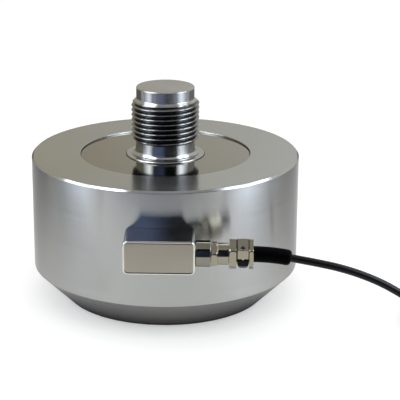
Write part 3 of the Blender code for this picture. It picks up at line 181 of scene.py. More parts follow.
def dress(piece, material, body="root"):
    """Gives a piece one material and lets it ride on the body."""
    piece.data.materials.clear()
    piece.data.materials.append(material)
    if "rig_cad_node" not in piece:
        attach(piece, body)
    return piece


# %% [markdown]
# The cable's jacket is black polyurethane: extruded, smooth and slightly glossy, with a faint uneven
# sheen from handling. The colour is nearly black, and a slow change in roughness along the cable keeps
# its highlight from looking drawn with a ruler. The sleeves and seals are moulded rubber, matt and
# blacker still, with the fine grain of their mould. Many finishes here differ from a plain shader in
# one of these two ways only, an uneven sheen or a moulded grain, so each way is a function.

# %% Cable jacket and rubber
def uneven_sheen(parts, grain_mm, low, high, detail=3.0):
    """Lets a noise with grains of a size take the roughness of a new material from low to high."""
    material, tree, shader = parts
    place = add_node(tree, "ShaderNodeTexCoord").outputs["Object"]
    cloud = add_node(tree, "ShaderNodeTexNoise", Vector=place, Scale=per_metre(grain_mm), Detail=detail)
    spread = add_node(tree, "ShaderNodeMapRange", Value=cloud.outputs["Fac"], To_Min=low, To_Max=high)
    tree.links.new(spread.outputs["Result"], shader.inputs["Roughness"])
    return material


def moulded_grain(parts, grain_mm, strength, depth_mm):
    """Gives a new material the grain of its mould, as bump from a noise with grains of a size."""
    material, tree, shader = parts
    place = add_node(tree, "ShaderNodeTexCoord").outputs["Object"]
    grain = add_node(tree, "ShaderNodeTexNoise", Vector=place, Scale=per_metre(grain_mm), Detail=2.0)
    bump = add_node(
        tree, "ShaderNodeBump", Height=grain.outputs["Fac"], Strength=strength, Distance=depth_mm * MM
    )
    tree.links.new(bump.outputs["Normal"], shader.inputs["Normal"])
    return material


# Extruded polyurethane: a thin soft highlight whose edges wander a little, over 9 mm or so.
plain_jacket = new_material("polyurethane_jacket", "040405", 0.34, ior=1.5, specular=0.18)
JACKET = uneven_sheen(plain_jacket, grain_mm=9.1, low=0.26, high=0.42)

# Moulded rubber: almost no highlight. Its grain is drawn coarser than it is, at 0.4 mm, so that it shows.
plain_rubber = new_material("moulded_rubber", "010102", 0.5, ior=1.52, specular=0.02)
RUBBER = moulded_grain(plain_rubber, grain_mm=0.4, strength=0.12, depth_mm=0.05)
print("materials:", JACKET.name, RUBBER.name)

# %% [markdown]
# The signal cable is 4.5 mm thick and 3 m long, the usual lead of a load cell. It leaves the plug
# straight, sinks under its own weight and ends in a neat coil on the surface, outside the picture.
# How a cable sinks is easier seen than calculated, so its free stretch is a smooth curve through given
# points.

# %% Free stretch of the cable
CABLE_DIAMETER = 4.5 * MM
FREE_ROUTE_MM = (
    (37.6, -96.0, 58.3),
    (45.0, -96.0, 58.3),
    (52.9, -96.0, 58.3),
    (60.0, -96.0, 58.06),
    (67.0, -96.0, 57.36),
    (74.0, -96.0, 56.2),
    (82.0, -96.0, 54.75),
    (91.0, -96.0, 53.0),
    (100.0, -96.0, 51.0),
    (109.0, -96.0, 48.4),
    (118.0, -96.0, 45.1),
    (127.0, -96.0, 41.0),
    (136.0, -96.0, 35.9),
    (145.0, -96.0, 30.3),
    (154.0, -96.0, 25.0),
    (162.0, -96.0, 21.0),
    (169.0, -96.0, 18.3),
)
FREE_STEPS = 8


def through(points, steps):
    """A Catmull-Rom curve: between two points it is half of (2b + (c - a)t + (2a - 5b + 4c - d)t^2
    + (3b - a - 3c + d)t^3), where a and d are the points before and after them."""
    points = np.asarray(points, float)
    first, last = 2 * points[0] - points[1], 2 * points[-1] - points[-2]
    padded = np.vstack([first, points, last])
    a, b, c, d = (padded[i : len(padded) - 3 + i, None] for i in range(4))
    t = np.linspace(0, 1, steps, endpoint=False)[None, :, None]
    curve = 0.5 * (2 * b + (c - a) * t + (2 * a - 5 * b + 4 * c - d) * t**2 + (3 * b - a - 3 * c + d) * t**3)
    return np.vstack([curve.reshape(-1, 3), points[-1:]])


free_stretch = through(np.array(FREE_ROUTE_MM) * MM, FREE_STEPS)
sunk = (free_stretch[0, 2] - free_stretch[-1, 2]) / MM
print("free stretch:", len(free_stretch), "points, sinks by", round(float(sunk), 1), "mm")

# %% [markdown]
# The rest of the 3 m is wound up. A coil is regular, so it is worked out: four layers of about four
# turns that spiral in, step down a layer, spiral out, and so on, a diameter apart.

# %% Coil
COIL_CENTRE = np.array([188.0, -59.6]) * MM
COIL_MID_RADIUS = 27.3 * MM
COIL_TURNS = 16.25
COIL_LAYERS = 4
COIL_FLOOR = 1.2 * MM
TURNS_PER_LAYER = COIL_TURNS / COIL_LAYERS
COIL_HALF_WIDTH = TURNS_PER_LAYER * CABLE_DIAMETER / 2
STEPS_PER_TURN = 28
LAYER_STEP_TURNS = 0.22


def coil_turns():
    """The wound part: the angle runs on evenly, the radius swings between its inner and outer value
    as a triangle wave, one swing for each layer, and the height falls by one diameter at each turning
    point along a smooth step."""
    turn = np.arange(0, COIL_TURNS, 1 / STEPS_PER_TURN)
    swing = np.abs((turn / TURNS_PER_LAYER) % 2 - 1)
    radius = COIL_MID_RADIUS + COIL_HALF_WIDTH * (2 * swing - 1)
    fallen = np.zeros_like(turn)
    for layer in range(1, COIL_LAYERS):
        share = np.clip((turn - layer * TURNS_PER_LAYER) / LAYER_STEP_TURNS + 0.5, 0, 1)
        fallen += share**2 * (3 - 2 * share)
    height = COIL_FLOOR + CABLE_DIAMETER * (COIL_LAYERS - 0.5 - fallen)
    angle = 2 * np.pi * turn - np.pi / 2
    x = COIL_CENTRE[0] + radius * np.cos(angle)
    y = COIL_CENTRE[1] + radius * np.sin(angle)
    return np.stack([x, y, height], axis=1)


turns = coil_turns()
print("coil:", COIL_TURNS, "turns in", COIL_LAYERS, "layers,", len(turns), "points")

# %% [markdown]
# The last turn leaves the coil and rises into the far plug, which lies on the surface. Then the three
# stretches are joined. The free one is drawn once more up to the coil's first point, so that it meets
# the turns smoothly, and the length along the whole line is measured.

# %% Cable route
TAIL_X = COIL_CENTRE[0] + COIL_MID_RADIUS + COIL_HALF_WIDTH
TAIL_FORWARD_MM = (0.0, 7.0, 14.0, 21.0, 27.0, 34.0, 42.0)
TAIL_RISE = (0.0, 0.1, 0.5, 0.88, 1.0, 1.0, 1.0)
TAIL_STEPS = 5
PLUG_AXIS_HEIGHT = 8.0 * MM
PLUG_START = 21.0 * MM


def cable_route():
    """The free stretch, the coil, and the short tail that rises into the plug at the far end."""
    low = COIL_FLOOR + CABLE_DIAMETER / 2
    tail_y = COIL_CENTRE[1] + np.array(TAIL_FORWARD_MM) * MM
    tail_z = low + (PLUG_AXIS_HEIGHT - low) * np.array(TAIL_RISE)
    tail = np.stack([np.full(len(TAIL_RISE), TAIL_X), tail_y, tail_z], axis=1)
    into_coil = through(np.vstack([np.array(FREE_ROUTE_MM) * MM, turns[:1]]), FREE_STEPS)[:-1]
    return np.vstack([into_coil, turns, through(tail, TAIL_STEPS)])


route = cable_route()

# %% [markdown]
# A cable is extruded round, so it is drawn as a curve with a round bevel. The real one ran on out of
# the picture. Here it is wound up beside the body, where the bright side would mirror a black coil
# that the photograph doesn't have, so reflections leave the cable and its ties out.

# %% Cable
BEVEL_STEPS = 5


def unmirrored(piece):
    """Leaves a piece out of what other pieces mirror."""
    piece.visible_glossy = False


def cable_curve(name, points, diameter):
    """One open poly spline with a round bevel, as Blender draws a cable."""
    data = bpy.data.curves.new(name, "CURVE")
    data.dimensions = "3D"
    data.bevel_depth = diameter / 2
    data.bevel_resolution = BEVEL_STEPS
    data.use_fill_caps = True
    spline = data.splines.new("POLY")
    spline.points.add(len(points) - 1)
    spline.points.foreach_set("co", np.hstack([points, np.ones((len(points), 1))]).ravel())
    return new_object(name, data)


cable = cable_curve("signal_cable", route, CABLE_DIAMETER)
dress(cable, JACKET)
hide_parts("cable", "cable_coil")
unmirrored(cable)
print("cable:", len(cable.data.splines[0].points), "points")

# %% [markdown]
# Nearly every other piece here is a surface of two parameters. The points of a grid are worked out as
# one array of rows by columns, and a single function turns any such array into a mesh. Rows that shrink
# to a point are poles, and merging their points closes them. Edges sharper than an angle stay crisp,
# and everything else is shaded smooth.

# %% Surfaces from grids of points
SHARP_ANGLE = 35
SAME_PLACE = 1e-6


def shade(mesh, sharp_angle):
    """Smooth shading, with a crease along every edge that turns by more than an angle in degrees."""
    mesh.shade_smooth()
    mesh.set_sharp_from_angle(angle=np.radians(sharp_angle))


def grid_mesh(name, points, closed_rows=False, sharp_angle=SHARP_ANGLE):
    """A mesh from points[row, column]: the columns always close on themselves, the rows only where
    asked. Each cell is a face whose corners run along the row first."""
    rows, columns = points.shape[:2]
    index = np.arange(rows * columns).reshape(rows, columns)
    low = index if closed_rows else index[:-1]
    high = np.roll(index, -1, axis=0) if closed_rows else index[1:]
    faces = np.stack([low, np.roll(low, -1, axis=1), np.roll(high, -1, axis=1), high], axis=-1)
    mesh = bpy.data.meshes.new(name)
    mesh.from_pydata(points.reshape(-1, 3).tolist(), [], faces.reshape(-1, 4).tolist())
    work = bmesh.new()
    work.from_mesh(mesh)
    bmesh.ops.remove_doubles(work, verts=work.verts, dist=SAME_PLACE)
    bmesh.ops.recalc_face_normals(work, faces=work.faces)
    work.to_mesh(mesh)
    work.free()
    shade(mesh, sharp_angle)
    return mesh


def surface_piece(name, points, closed_rows=False, sharp_angle=SHARP_ANGLE):
    """A piece that is one surface, at the origin, with its place in its mesh."""
    return new_object(name, grid_mesh(name, points, closed_rows, sharp_angle))


def print_measures(piece):
    """Prints how many faces a piece has and its extent along x, y and z."""
    places = np.empty(len(piece.data.vertices) * 3, np.float32)
    piece.data.vertices.foreach_get("co", places)
    extent = [round(float(side), 1) for side in np.ptp(places.reshape(-1, 3), axis=0) / MM]
    print(f"{piece.name}: {len(piece.data.polygons)} faces, {extent} mm")


print("edges that turn by more than", SHARP_ANGLE, "degrees stay crisp")

# %% [markdown]
# Most of the pieces were turned on a lathe, so most surfaces are a profile carried round an axis. A
# turner writes a profile as corners and breaks each corner with a small radius, and that is how the
# profiles are written here too: (distance from the axis, height, rounding). The roundings are what
# draws the thin bright line along each edge of a turned piece.

# %% Turned profiles
FACETS = 240
SMALL_FACETS = 72
ARC_SHARE_OF_SIDE = 0.48
GUARD_SHARE = 0.04


def rounded_profile(corners, steps=6, guard=0.06):
    """A polyline in mm whose corners are rounded. Each corner is (radius from the axis, height,
    rounding). The arc touches both sides at rounding * tan(half the turn) from the corner, and takes
    at most about half of the shorter side. A guard point just outside each end of the arc keeps the
    flat beside it flat in the shading."""
    corners = np.asarray(corners, float)
    points = [corners[0, :2]]
    for before, here, after in zip(corners[:-2], corners[1:-1], corners[2:]):
        into = here[:2] - before[:2]
        out = after[:2] - here[:2]
        room = min(np.linalg.norm(into), np.linalg.norm(out)) * ARC_SHARE_OF_SIDE
        into = into / np.linalg.norm(into)
        out = out / np.linalg.norm(out)
        turn = np.arctan2(into[0] * out[1] - into[1] * out[0], into @ out)
        reach = min(here[2] * abs(np.tan(turn / 2)), room)
        if reach < 1e-4:
            points.append(here[:2])
            continue
        radius = reach / abs(np.tan(turn / 2))
        side = np.sign(turn) * np.array([-into[1], into[0]])
        start = here[:2] - into * reach
        centre = start + side * radius
        swept = turn * np.arange(steps + 1) / steps
        spokes = (start - centre)[None, :]
        cosine, sine = np.cos(swept)[:, None], np.sin(swept)[:, None]
        turned = spokes * cosine + np.stack([-spokes[:, 1], spokes[:, 0]], axis=1) * sine
        margin = min(guard, room * GUARD_SHARE)
        points.append(start - into * margin)
        points.extend(centre + turned)
        points.append(here[:2] + out * (reach + margin))
    points.append(corners[-1, :2])
    return np.array(points)


def spin(profile, facets=FACETS, axis="z", centre=(0, 0, 0)):
    """A lathe: the point (r, h) of the profile goes to (r cos a, r sin a, h) for every angle a. For
    another axis the three coordinates change places in turn, which keeps the shape unmirrored."""
    angle = 2 * np.pi * np.arange(facets) / facets
    r, h = profile[:, :1], profile[:, 1:]
    across, up, along = r * np.cos(angle), r * np.sin(angle), h + 0 * angle
    parts = {"z": (across, up, along), "x": (along, across, up), "y": (up, along, across)}[axis]
    return (np.stack(parts, axis=-1) + np.array(centre)) * MM


one_corner = rounded_profile([(0, 0, 0), (1, 0, 0.1), (1, 1, 0)])
print("a rounded corner becomes", len(one_corner) - 2, "points")

# %% [markdown]
# The body is turned from one bar and then nickel plated. A lathe leaves fine rings that all run round
# the axis, so its shine is stretched across them: up and down on the side, in and out on the top. The
# shader's anisotropy does that, with a tangent that runs round the axis. The rings themselves are a
# noise that reads only the distance from the axis and the height. Real tool marks are a few hundredths
# of a millimetre apart, too fine to show, so they are drawn 1.4 and 6 mm wide and faint.

# %% Turned steel
RING_MM = 1.43
WIDE_RING_MM = 6.25
HAZE_MM = 62.5


def turned_steel(name, colour, roughness, anisotropy=0.45, edge=0.8):
    """Plated turned steel. The rings change the roughness by 7% and the colour by 1.5% either way. A
    slow noise in all directions is the haze of handling, and adds up to 12% to the roughness. The
    edge value tints what the metal mirrors at a grazing angle."""
    material, tree, shader = new_material(name, colour, roughness, metallic=1.0)
    place = add_node(tree, "ShaderNodeTexCoord").outputs["Object"]
    axes = add_node(tree, "ShaderNodeSeparateXYZ", {"name": "place"}, Vector=place)
    flat = add_node(tree, "ShaderNodeCombineXYZ", X=axes.outputs["X"], Y=axes.outputs["Y"])
    radius = add_node(
        tree, "ShaderNodeVectorMath", {"operation": "LENGTH", "name": "axis distance"},
        in0=flat.outputs["Vector"],
    )
    ring = add_node(tree, "ShaderNodeCombineXYZ", X=radius.outputs["Value"], Z=axes.outputs["Z"])
    fine, wide = (
        add_node(tree, "ShaderNodeTexNoise", Vector=ring.outputs["Vector"], Scale=per_metre(size), Detail=1.0)
        for size in (RING_MM, WIDE_RING_MM)
    )
    haze = add_node(tree, "ShaderNodeTexNoise", Vector=place, Scale=per_metre(HAZE_MM), Detail=1.0)
    marks = add_node(
        tree, "ShaderNodeMath", {"operation": "ADD"}, in0=fine.outputs["Fac"], in1=wide.outputs["Fac"]
    )
    spread = add_node(
        tree, "ShaderNodeMapRange", Value=marks.outputs["Value"], From_Min=0.6, From_Max=1.4,
        To_Min=roughness * 0.93, To_Max=roughness * 1.07,
    )
    dull = add_node(
        tree, "ShaderNodeMapRange", Value=haze.outputs["Fac"], From_Min=0.35, From_Max=0.7,
        To_Min=0.0, To_Max=roughness * 0.12,
    )
    rough = add_node(
        tree, "ShaderNodeMath", {"operation": "ADD"}, in0=spread.outputs["Result"], in1=dull.outputs["Result"]
    )
    tree.links.new(rough.outputs["Value"], shader.inputs["Roughness"])
    tone = add_node(
        tree, "ShaderNodeMapRange", Value=marks.outputs["Value"], From_Min=0.7, From_Max=1.3,
        To_Min=0.985, To_Max=1.015,
    )
    tint = add_node(
        tree, "ShaderNodeVectorMath", {"operation": "SCALE"}, in0=linear(colour)[:3],
        Scale=tone.outputs["Result"],
    )
    tree.links.new(tint.outputs["Vector"], shader.inputs["Base Color"])
    back = add_node(tree, "ShaderNodeMath", {"operation": "MULTIPLY"}, in0=axes.outputs["Y"], in1=-1.0)
    round_axis = add_node(tree, "ShaderNodeCombineXYZ", X=back.outputs["Value"], Y=axes.outputs["X"])
    tangent = add_node(
        tree, "ShaderNodeVectorMath", {"operation": "NORMALIZE"}, in0=round_axis.outputs["Vector"]
    )
    shader.inputs["Specular Tint"].default_value = (edge, edge, edge, 1.0)
    shader.inputs["Anisotropic"].default_value = anisotropy
    shader.inputs["Anisotropic Rotation"].default_value = 0.25
    tree.links.new(tangent.outputs["Vector"], shader.inputs["Tangent"])
    return material


PLATED_STEEL = turned_steel("nickel_plated_turned_steel", "a2a3a1", 0.19, anisotropy=0.8, edge=0.7)
print("turned steel: rings", RING_MM, "and", WIDE_RING_MM, "mm wide")

# %% [markdown]
# Two things differ on the load stud, which is the same piece of steel. It was turned finer than the
# ring, so it mirrors a little more sharply. And its thread carries painted shade, where the flanks
# shade and mirror each other: the roots are nearly black and the crests are greyish. Both are added to
# the steel by place, with the height and the distance from the axis that it has already worked out.

# %% Polish and painted shade on the stud
POLISH_MM = (91.5, 92.0)
THREAD_SHADE_HEIGHTS_MM = (98.0, 122.7)
THREAD_SHADE_EDGE_MM = (-0.3, 0.8)
THREAD_SHADE_RADII_MM = (20.7, 19.4)


def polish_and_shade_stud(material, polish, crest, root):
    """Above the ring the roughness is multiplied by polish. Between the two heights of the painted shade
    the colour is multiplied by a share that goes from crest at the outer of two radii to root at the
    inner one, so the roots are shaded darkest. The shade's ends fade over the edge's width."""
    tree = material.node_tree
    shader = tree.nodes["Principled BSDF"]
    height = tree.nodes["place"].outputs["Z"]
    radius = tree.nodes["axis distance"].outputs["Value"]
    low, high = THREAD_SHADE_HEIGHTS_MM
    outer, inner = THREAD_SHADE_RADII_MM
    below, above = THREAD_SHADE_EDGE_MM
    polished = add_node(
        tree, "ShaderNodeMapRange", Value=height, From_Min=POLISH_MM[0] * MM, From_Max=POLISH_MM[1] * MM,
        To_Min=1.0, To_Max=polish,
    )
    rough = add_node(
        tree, "ShaderNodeMath", {"operation": "MULTIPLY"},
        in0=shader.inputs["Roughness"].links[0].from_socket, in1=polished.outputs["Result"],
    )
    tree.links.new(rough.outputs["Value"], shader.inputs["Roughness"])
    starts = add_node(
        tree, "ShaderNodeMapRange", Value=height, From_Min=(low + below) * MM, From_Max=(low + above) * MM
    )
    ends = add_node(
        tree, "ShaderNodeMapRange", Value=height, From_Min=(high + above) * MM, From_Max=(high + below) * MM
    )
    within = add_node(
        tree, "ShaderNodeMath", {"operation": "MULTIPLY"}, in0=starts.outputs["Result"],
        in1=ends.outputs["Result"],
    )
    deep = add_node(tree, "ShaderNodeMapRange", Value=radius, From_Min=outer * MM, From_Max=inner * MM)
    share = add_node(tree, "ShaderNodeMapRange", Value=deep.outputs["Result"], To_Min=crest, To_Max=root)
    kept = add_node(
        tree, "ShaderNodeMapRange", Value=within.outputs["Value"], To_Min=1.0, To_Max=share.outputs["Result"]
    )
    tint = add_node(
        tree, "ShaderNodeVectorMath", {"operation": "SCALE"},
        in0=shader.inputs["Base Color"].links[0].from_socket, Scale=kept.outputs["Result"],
    )
    tree.links.new(tint.outputs["Vector"], shader.inputs["Base Color"])


# Painted shade in the thread: crest and root are the shares of the colour that are kept.
polish_and_shade_stud(PLATED_STEEL, polish=0.9, crest=0.68, root=0.19)
print("painted shade in the thread from", THREAD_SHADE_HEIGHTS_MM[0], "to", THREAD_SHADE_HEIGHTS_MM[1], "mm")

# %% [markdown]
# The stud's thread is an M42 x 3. It isn't round like the rest: it is a ridge that climbs 3 mm in each
# turn. So in its rows the distance from the axis depends on the angle as well, through the phase of the
# height over the pitch less the angle over a full turn. A right-hand thread climbs as the angle grows.

# %% Thread
NECK_RADIUS = 18.0
THREAD_START = 98.0
THREAD_END = 122.0
THREAD_RADIUS = 20.9
THREAD_PITCH = 3.0
THREAD_DEPTH = 1.84
THREAD_ROWS = 162
CREST_FLAT = 0.12
FLANK_WIDTH = 0.80
FLANK_SOFTNESS = 0.15
UNDERCUT_SLOPE = 1.7
RUN_OUT = 0.35
START_LIFT = 0.3
START_CONE_ANGLE = 30
PILOT_RADIUS = 17.95
PILOT_CONE_END = 124.6
PILOT_START = 125.4


def thread_radius(height, angle):
    """Distance from the axis: the core plus the depth times a rounded ridge. The ridge is 1 on the
    crest, 0 in the root and a smooth step on the flanks, read at the phase (height / pitch -
    angle / full turn) within one pitch. A cone at each end cuts the ridge off, and the core itself
    grows out of the neck at the bottom and narrows to the pilot at 45 degrees at the top."""
    phase = (height / THREAD_PITCH - angle / (2 * np.pi)) % 1.0
    from_crest = np.abs(phase - 0.5) * 2
    flank = np.clip((from_crest - CREST_FLAT) / FLANK_WIDTH, 0, 1)
    ridge = 1 - (FLANK_SOFTNESS * flank**2 * (3 - 2 * flank) + (1 - FLANK_SOFTNESS) * flank)
    root = THREAD_RADIUS - THREAD_DEPTH
    thread = root + THREAD_DEPTH * ridge
    climbed = height - THREAD_START - RUN_OUT
    start_cone = NECK_RADIUS + START_LIFT + climbed / np.tan(np.radians(START_CONE_ANGLE))
    end_cone = THREAD_RADIUS - (height - THREAD_END + RUN_OUT)
    undercut = np.maximum(NECK_RADIUS, NECK_RADIUS + (height - THREAD_START) * UNDERCUT_SLOPE)
    pilot_cone = np.maximum(PILOT_RADIUS, PILOT_RADIUS + (PILOT_CONE_END - height))
    core = np.minimum(np.minimum(root, undercut), pilot_cone)
    return np.maximum(core, np.minimum(thread, np.minimum(start_cone, end_cone)))


def threaded_rows():
    """Rows from the neck to the pilot, each a circle whose radius the thread changes."""
    height = np.linspace(THREAD_START, PILOT_START - 0.1, THREAD_ROWS)[:, None]
    angle = (2 * np.pi * np.arange(FACETS) / FACETS)[None, :]
    radius = thread_radius(height, angle)
    return np.stack([radius * np.cos(angle), radius * np.sin(angle), height + 0 * angle], axis=-1) * MM


print("thread:", round((THREAD_END - THREAD_START) / THREAD_PITCH, 1), "turns in", THREAD_ROWS, "rows")

# %% [markdown]
# Ring, web, hub and stud are one piece of steel, so they are one closed surface: a profile carried
# round the axis up to the neck, the thread's own rows, and the pilot's profile on top. The photograph
# shows only the outside. The web and the two chambers are there for whoever cuts the model open.

# %% Spring body
BODY_RADIUS = 82.5
BODY_TOP = 90.0
EDGE_BREAK = 1.2
FOOT_RADIUS = 62.5
FOOT_CONE = 20.0
COVER_RADIUS = 56
COVER_SEAT_Z = 6.3
LOWER_CHAMBER_RADIUS = 44
UPPER_CHAMBER_RADIUS = 50
WEB_BOTTOM = 30
WEB_TOP = 46
HUB_RADIUS = 26.5
HUB_FOOT = 9
RECESS_RADIUS = 52.5
RECESS_BREAK = 0.25
LEDGE_Z = 87.4
LIP_RADIUS = 24.0
LIP_TOP = 89.7
LIP_BREAK = 0.35
STEP_RADIUS = 20.5
STEP_HEIGHT = 0.5
FLARE_HEIGHT = 1.9
PILOT_BREAK = 0.5
STUD_TOP = 131.55


def hub_to_neck():
    """The profile below the thread: from the hub's foot out along the web's underside, round the lower
    chamber and the foot, up the side, back into the upper chamber and up the hub to the neck."""
    return rounded_profile(
        [
            (0, HUB_FOOT, 0), (HUB_RADIUS, HUB_FOOT, 0.5), (HUB_RADIUS, WEB_BOTTOM, 4),
            (LOWER_CHAMBER_RADIUS, WEB_BOTTOM, 4), (LOWER_CHAMBER_RADIUS, COVER_SEAT_Z, 0.2),
            (COVER_RADIUS, COVER_SEAT_Z, 0.2), (COVER_RADIUS, 0, 0.4), (FOOT_RADIUS, 0, 0.5),
            (BODY_RADIUS, FOOT_CONE, 0.25), (BODY_RADIUS, BODY_TOP - EDGE_BREAK, 0.35),
            (BODY_RADIUS - EDGE_BREAK, BODY_TOP, 0.35), (RECESS_RADIUS + RECESS_BREAK, BODY_TOP, 0.1),
            (RECESS_RADIUS, BODY_TOP - RECESS_BREAK, 0.1), (RECESS_RADIUS, LEDGE_Z, 0.1),
            (UPPER_CHAMBER_RADIUS, LEDGE_Z, 0.2), (UPPER_CHAMBER_RADIUS, WEB_TOP, 4),
            (HUB_RADIUS, WEB_TOP, 4), (HUB_RADIUS, LEDGE_Z, 0.1), (LIP_RADIUS, LEDGE_Z, 0.1),
            (LIP_RADIUS, LIP_TOP - LIP_BREAK, 0.15), (LIP_RADIUS - LIP_BREAK, LIP_TOP, 0.15),
            (STEP_RADIUS, LIP_TOP, 0.08), (STEP_RADIUS, LIP_TOP + STEP_HEIGHT, 0.12),
            (STEP_RADIUS - 0.6, LIP_TOP + STEP_HEIGHT, 0.08),
            (STEP_RADIUS - 1.0, LIP_TOP + STEP_HEIGHT + 0.25, 0.2),
            (NECK_RADIUS + 0.5, LIP_TOP + FLARE_HEIGHT, 2.0),
            (NECK_RADIUS, THREAD_START - 0.2, 0),
        ]
    )


def pilot():
    """The profile above the thread: the plain end of the stud, to the middle of its top."""
    return rounded_profile(
        [
            (PILOT_RADIUS, PILOT_START, 0), (PILOT_RADIUS, STUD_TOP - PILOT_BREAK, 0.2),
            (PILOT_RADIUS - PILOT_BREAK, STUD_TOP, 0.2), (0, STUD_TOP, 0),
        ]
    )


def spring_body():
    """The closed surface: the profile below, the thread's own rows, and the pilot's profile."""
    return np.concatenate([spin(hub_to_neck()), threaded_rows(), spin(pilot())])


body = surface_piece("spring_body", spring_body(), sharp_angle=50)
dress(body, PLATED_STEEL)
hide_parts("elastic_body")
print_measures(body)

# %% [markdown]
# The diaphragm is a thin bright sheet that closes the gauge chamber. It was rolled, not turned, so it
# mirrors more sharply than the ring, and it is a little darker and warmer. It is a flat ring whose
# profile closes on itself.

# %% Diaphragm
SHEET_BOTTOM = 87.7
SHEET_TOP = 88.9
SHEET_OUTER = 52.2
SHEET_INNER = 24.3
SHEET_MIDDLE = 38


def diaphragm_sheet():
    """The section of a flat ring with rounded rims, from the middle of its underside and back."""
    return rounded_profile(
        [
            (SHEET_MIDDLE, SHEET_BOTTOM, 0), (SHEET_OUTER, SHEET_BOTTOM, 0.1),
            (SHEET_OUTER, SHEET_TOP, 0.15), (SHEET_INNER, SHEET_TOP, 0.15),
            (SHEET_INNER, SHEET_BOTTOM, 0.1), (SHEET_MIDDLE, SHEET_BOTTOM, 0),
        ]
    )[:-1]


DIAPHRAGM_STEEL = turned_steel("rolled_stainless_sheet", "7f7c72", 0.09, anisotropy=0.2)
diaphragm = surface_piece("diaphragm_sheet", spin(diaphragm_sheet()), closed_rows=True)
dress(diaphragm, DIAPHRAGM_STEEL)
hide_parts("top_diaphragm")
print_measures(diaphragm)

# %% [markdown]
# The connection box was milled from a block and nickel plated. A milling cutter leaves fine straight
# marks, so its nickel has a noise that is stretched 40 times along one axis, in the roughness and a
# little in the bump. The rim round the sunk plate has a painted highlight: a second, paler colour takes
# over just behind the front face.

# %% Milled nickel
MARK_STRETCH = 0.025
CLOUD_MM = 11.1


def milled_nickel(name, colour, roughness, mark_mm=1.11, marked=0.3, grain_axis=0):
    """Nickel over a milled face. The marks, together with a cloud some 11 mm across, change the
    roughness by the share marked, either way. They are drawn about 1 mm wide so that they show."""
    material, tree, shader = new_material(name, colour, roughness, metallic=1.0)
    place = add_node(tree, "ShaderNodeTexCoord").outputs["Object"]
    stretch = [1.0, 1.0, 1.0]
    stretch[grain_axis] = MARK_STRETCH
    mapped = add_node(tree, "ShaderNodeMapping", Vector=place, Scale=stretch)
    marks = add_node(
        tree, "ShaderNodeTexNoise", Vector=mapped.outputs["Vector"], Scale=per_metre(mark_mm), Detail=3.0
    )
    cloud = add_node(tree, "ShaderNodeTexNoise", Vector=place, Scale=per_metre(CLOUD_MM), Detail=3.0)
    both = add_node(
        tree, "ShaderNodeMath", {"operation": "ADD"}, in0=marks.outputs["Fac"], in1=cloud.outputs["Fac"]
    )
    spread = add_node(
        tree, "ShaderNodeMapRange", Value=both.outputs["Value"], From_Min=0.6, From_Max=1.4,
        To_Min=roughness * (1 - marked), To_Max=roughness * (1 + marked),
    )
    tree.links.new(spread.outputs["Result"], shader.inputs["Roughness"])
    bump = add_node(
        tree, "ShaderNodeBump", Height=marks.outputs["Fac"], Strength=0.15 * marked, Distance=0.02 * MM
    )
    tree.links.new(bump.outputs["Normal"], shader.inputs["Normal"])
    return material


def paint_rim_highlight(material, colour, from_y, to_y):
    """Paints a highlight: lets a second, paler colour take over between two depths, in mm."""
    tree = material.node_tree
    shader = tree.nodes["Principled BSDF"]
    place = add_node(tree, "ShaderNodeTexCoord").outputs["Object"]
    axes = add_node(tree, "ShaderNodeSeparateXYZ", Vector=place)
    near = add_node(
        tree, "ShaderNodeMapRange", Value=axes.outputs["Y"], From_Min=from_y * MM, From_Max=to_y * MM
    )
    mixed = add_node(
        tree, "ShaderNodeMixRGB", Fac=near.outputs["Result"], Color2=linear(colour),
        Color1=shader.inputs["Base Color"].default_value[:],
    )
    tree.links.new(mixed.outputs["Color"], shader.inputs["Base Color"])


BOX_FRONT_Y = -105.2
RIM_HIGHLIGHT_DEPTHS = (0.5, 0.25)
BOX_NICKEL = milled_nickel("nickel_plated_milled_steel", "a4a19a", 0.2)
# The rim's paler colour is a painted highlight, a bright line along the box's front edge.
paint_rim_highlight(BOX_NICKEL, "d3d0c6", *(BOX_FRONT_Y + depth for depth in RIM_HIGHLIGHT_DEPTHS))
print("the rim's bright nickel ends", RIM_HIGHLIGHT_DEPTHS[0], "mm behind the front")

# %% [markdown]
# Box and plate are milled blocks: at every depth they are a rectangle with round corners, less an inset
# where an edge is broken. So their surfaces are such an outline carried from depth to depth. It keeps
# its number of points when it shrinks, and every row matches the next.

# %% Outlines with round corners
SMALLEST_CORNER = 0.02


def rounded_outline(width, height, corner, per_corner=10, per_side=8):
    """Points round a rectangle with quarter-circle corners, in order and always as many, so that
    outlines of other sizes match point for point."""
    corner = max(corner, SMALLEST_CORNER)
    arcs = []
    for quarter, (side, rise) in enumerate(((1, 1), (-1, 1), (-1, -1), (1, -1))):
        angle = np.radians(90 * quarter + np.linspace(0, 90, per_corner))
        centre = np.array([side * (width / 2 - corner), rise * (height / 2 - corner)])
        arcs.append(centre + corner * np.stack([np.cos(angle), np.sin(angle)], axis=1))
    share = np.linspace(0, 1, per_side + 2)[1:-1, None]
    points = []
    for arc, following in zip(arcs, arcs[1:] + arcs[:1]):
        points += [arc, arc[-1] * (1 - share) + following[0] * share]
    return np.vstack(points)


def inset_rows(width, height, corner, steps):
    """One row for each step (inset, y): the outline less the inset on every side, at that y."""
    rows = []
    for inset, y in steps:
        x, z = rounded_outline(width - 2 * inset, height - 2 * inset, corner - inset).T
        rows.append(np.stack([x, np.full_like(x, y), z], axis=1))
    return rows


def round_the_edge(radius, front, steps):
    """Steps (inset, y) round a quarter circle, from a side to the front."""
    quarter = np.radians(np.linspace(0, 90, steps))
    return [(radius * (1 - np.cos(a)), front + radius * (1 - np.sin(a))) for a in quarter]


print("an outline has", len(rounded_outline(2, 1, 0.1)), "points")

# %% [markdown]
# The box's back follows the body's round side. Its outline runs from the curved back to the front,
# round the rim and down into the pocket. A row close to each edge keeps the flat beside it flat in the
# shading. The photograph shows the box a little wider and rounder than its solid, by less than a
# millimetre, and so is it here.

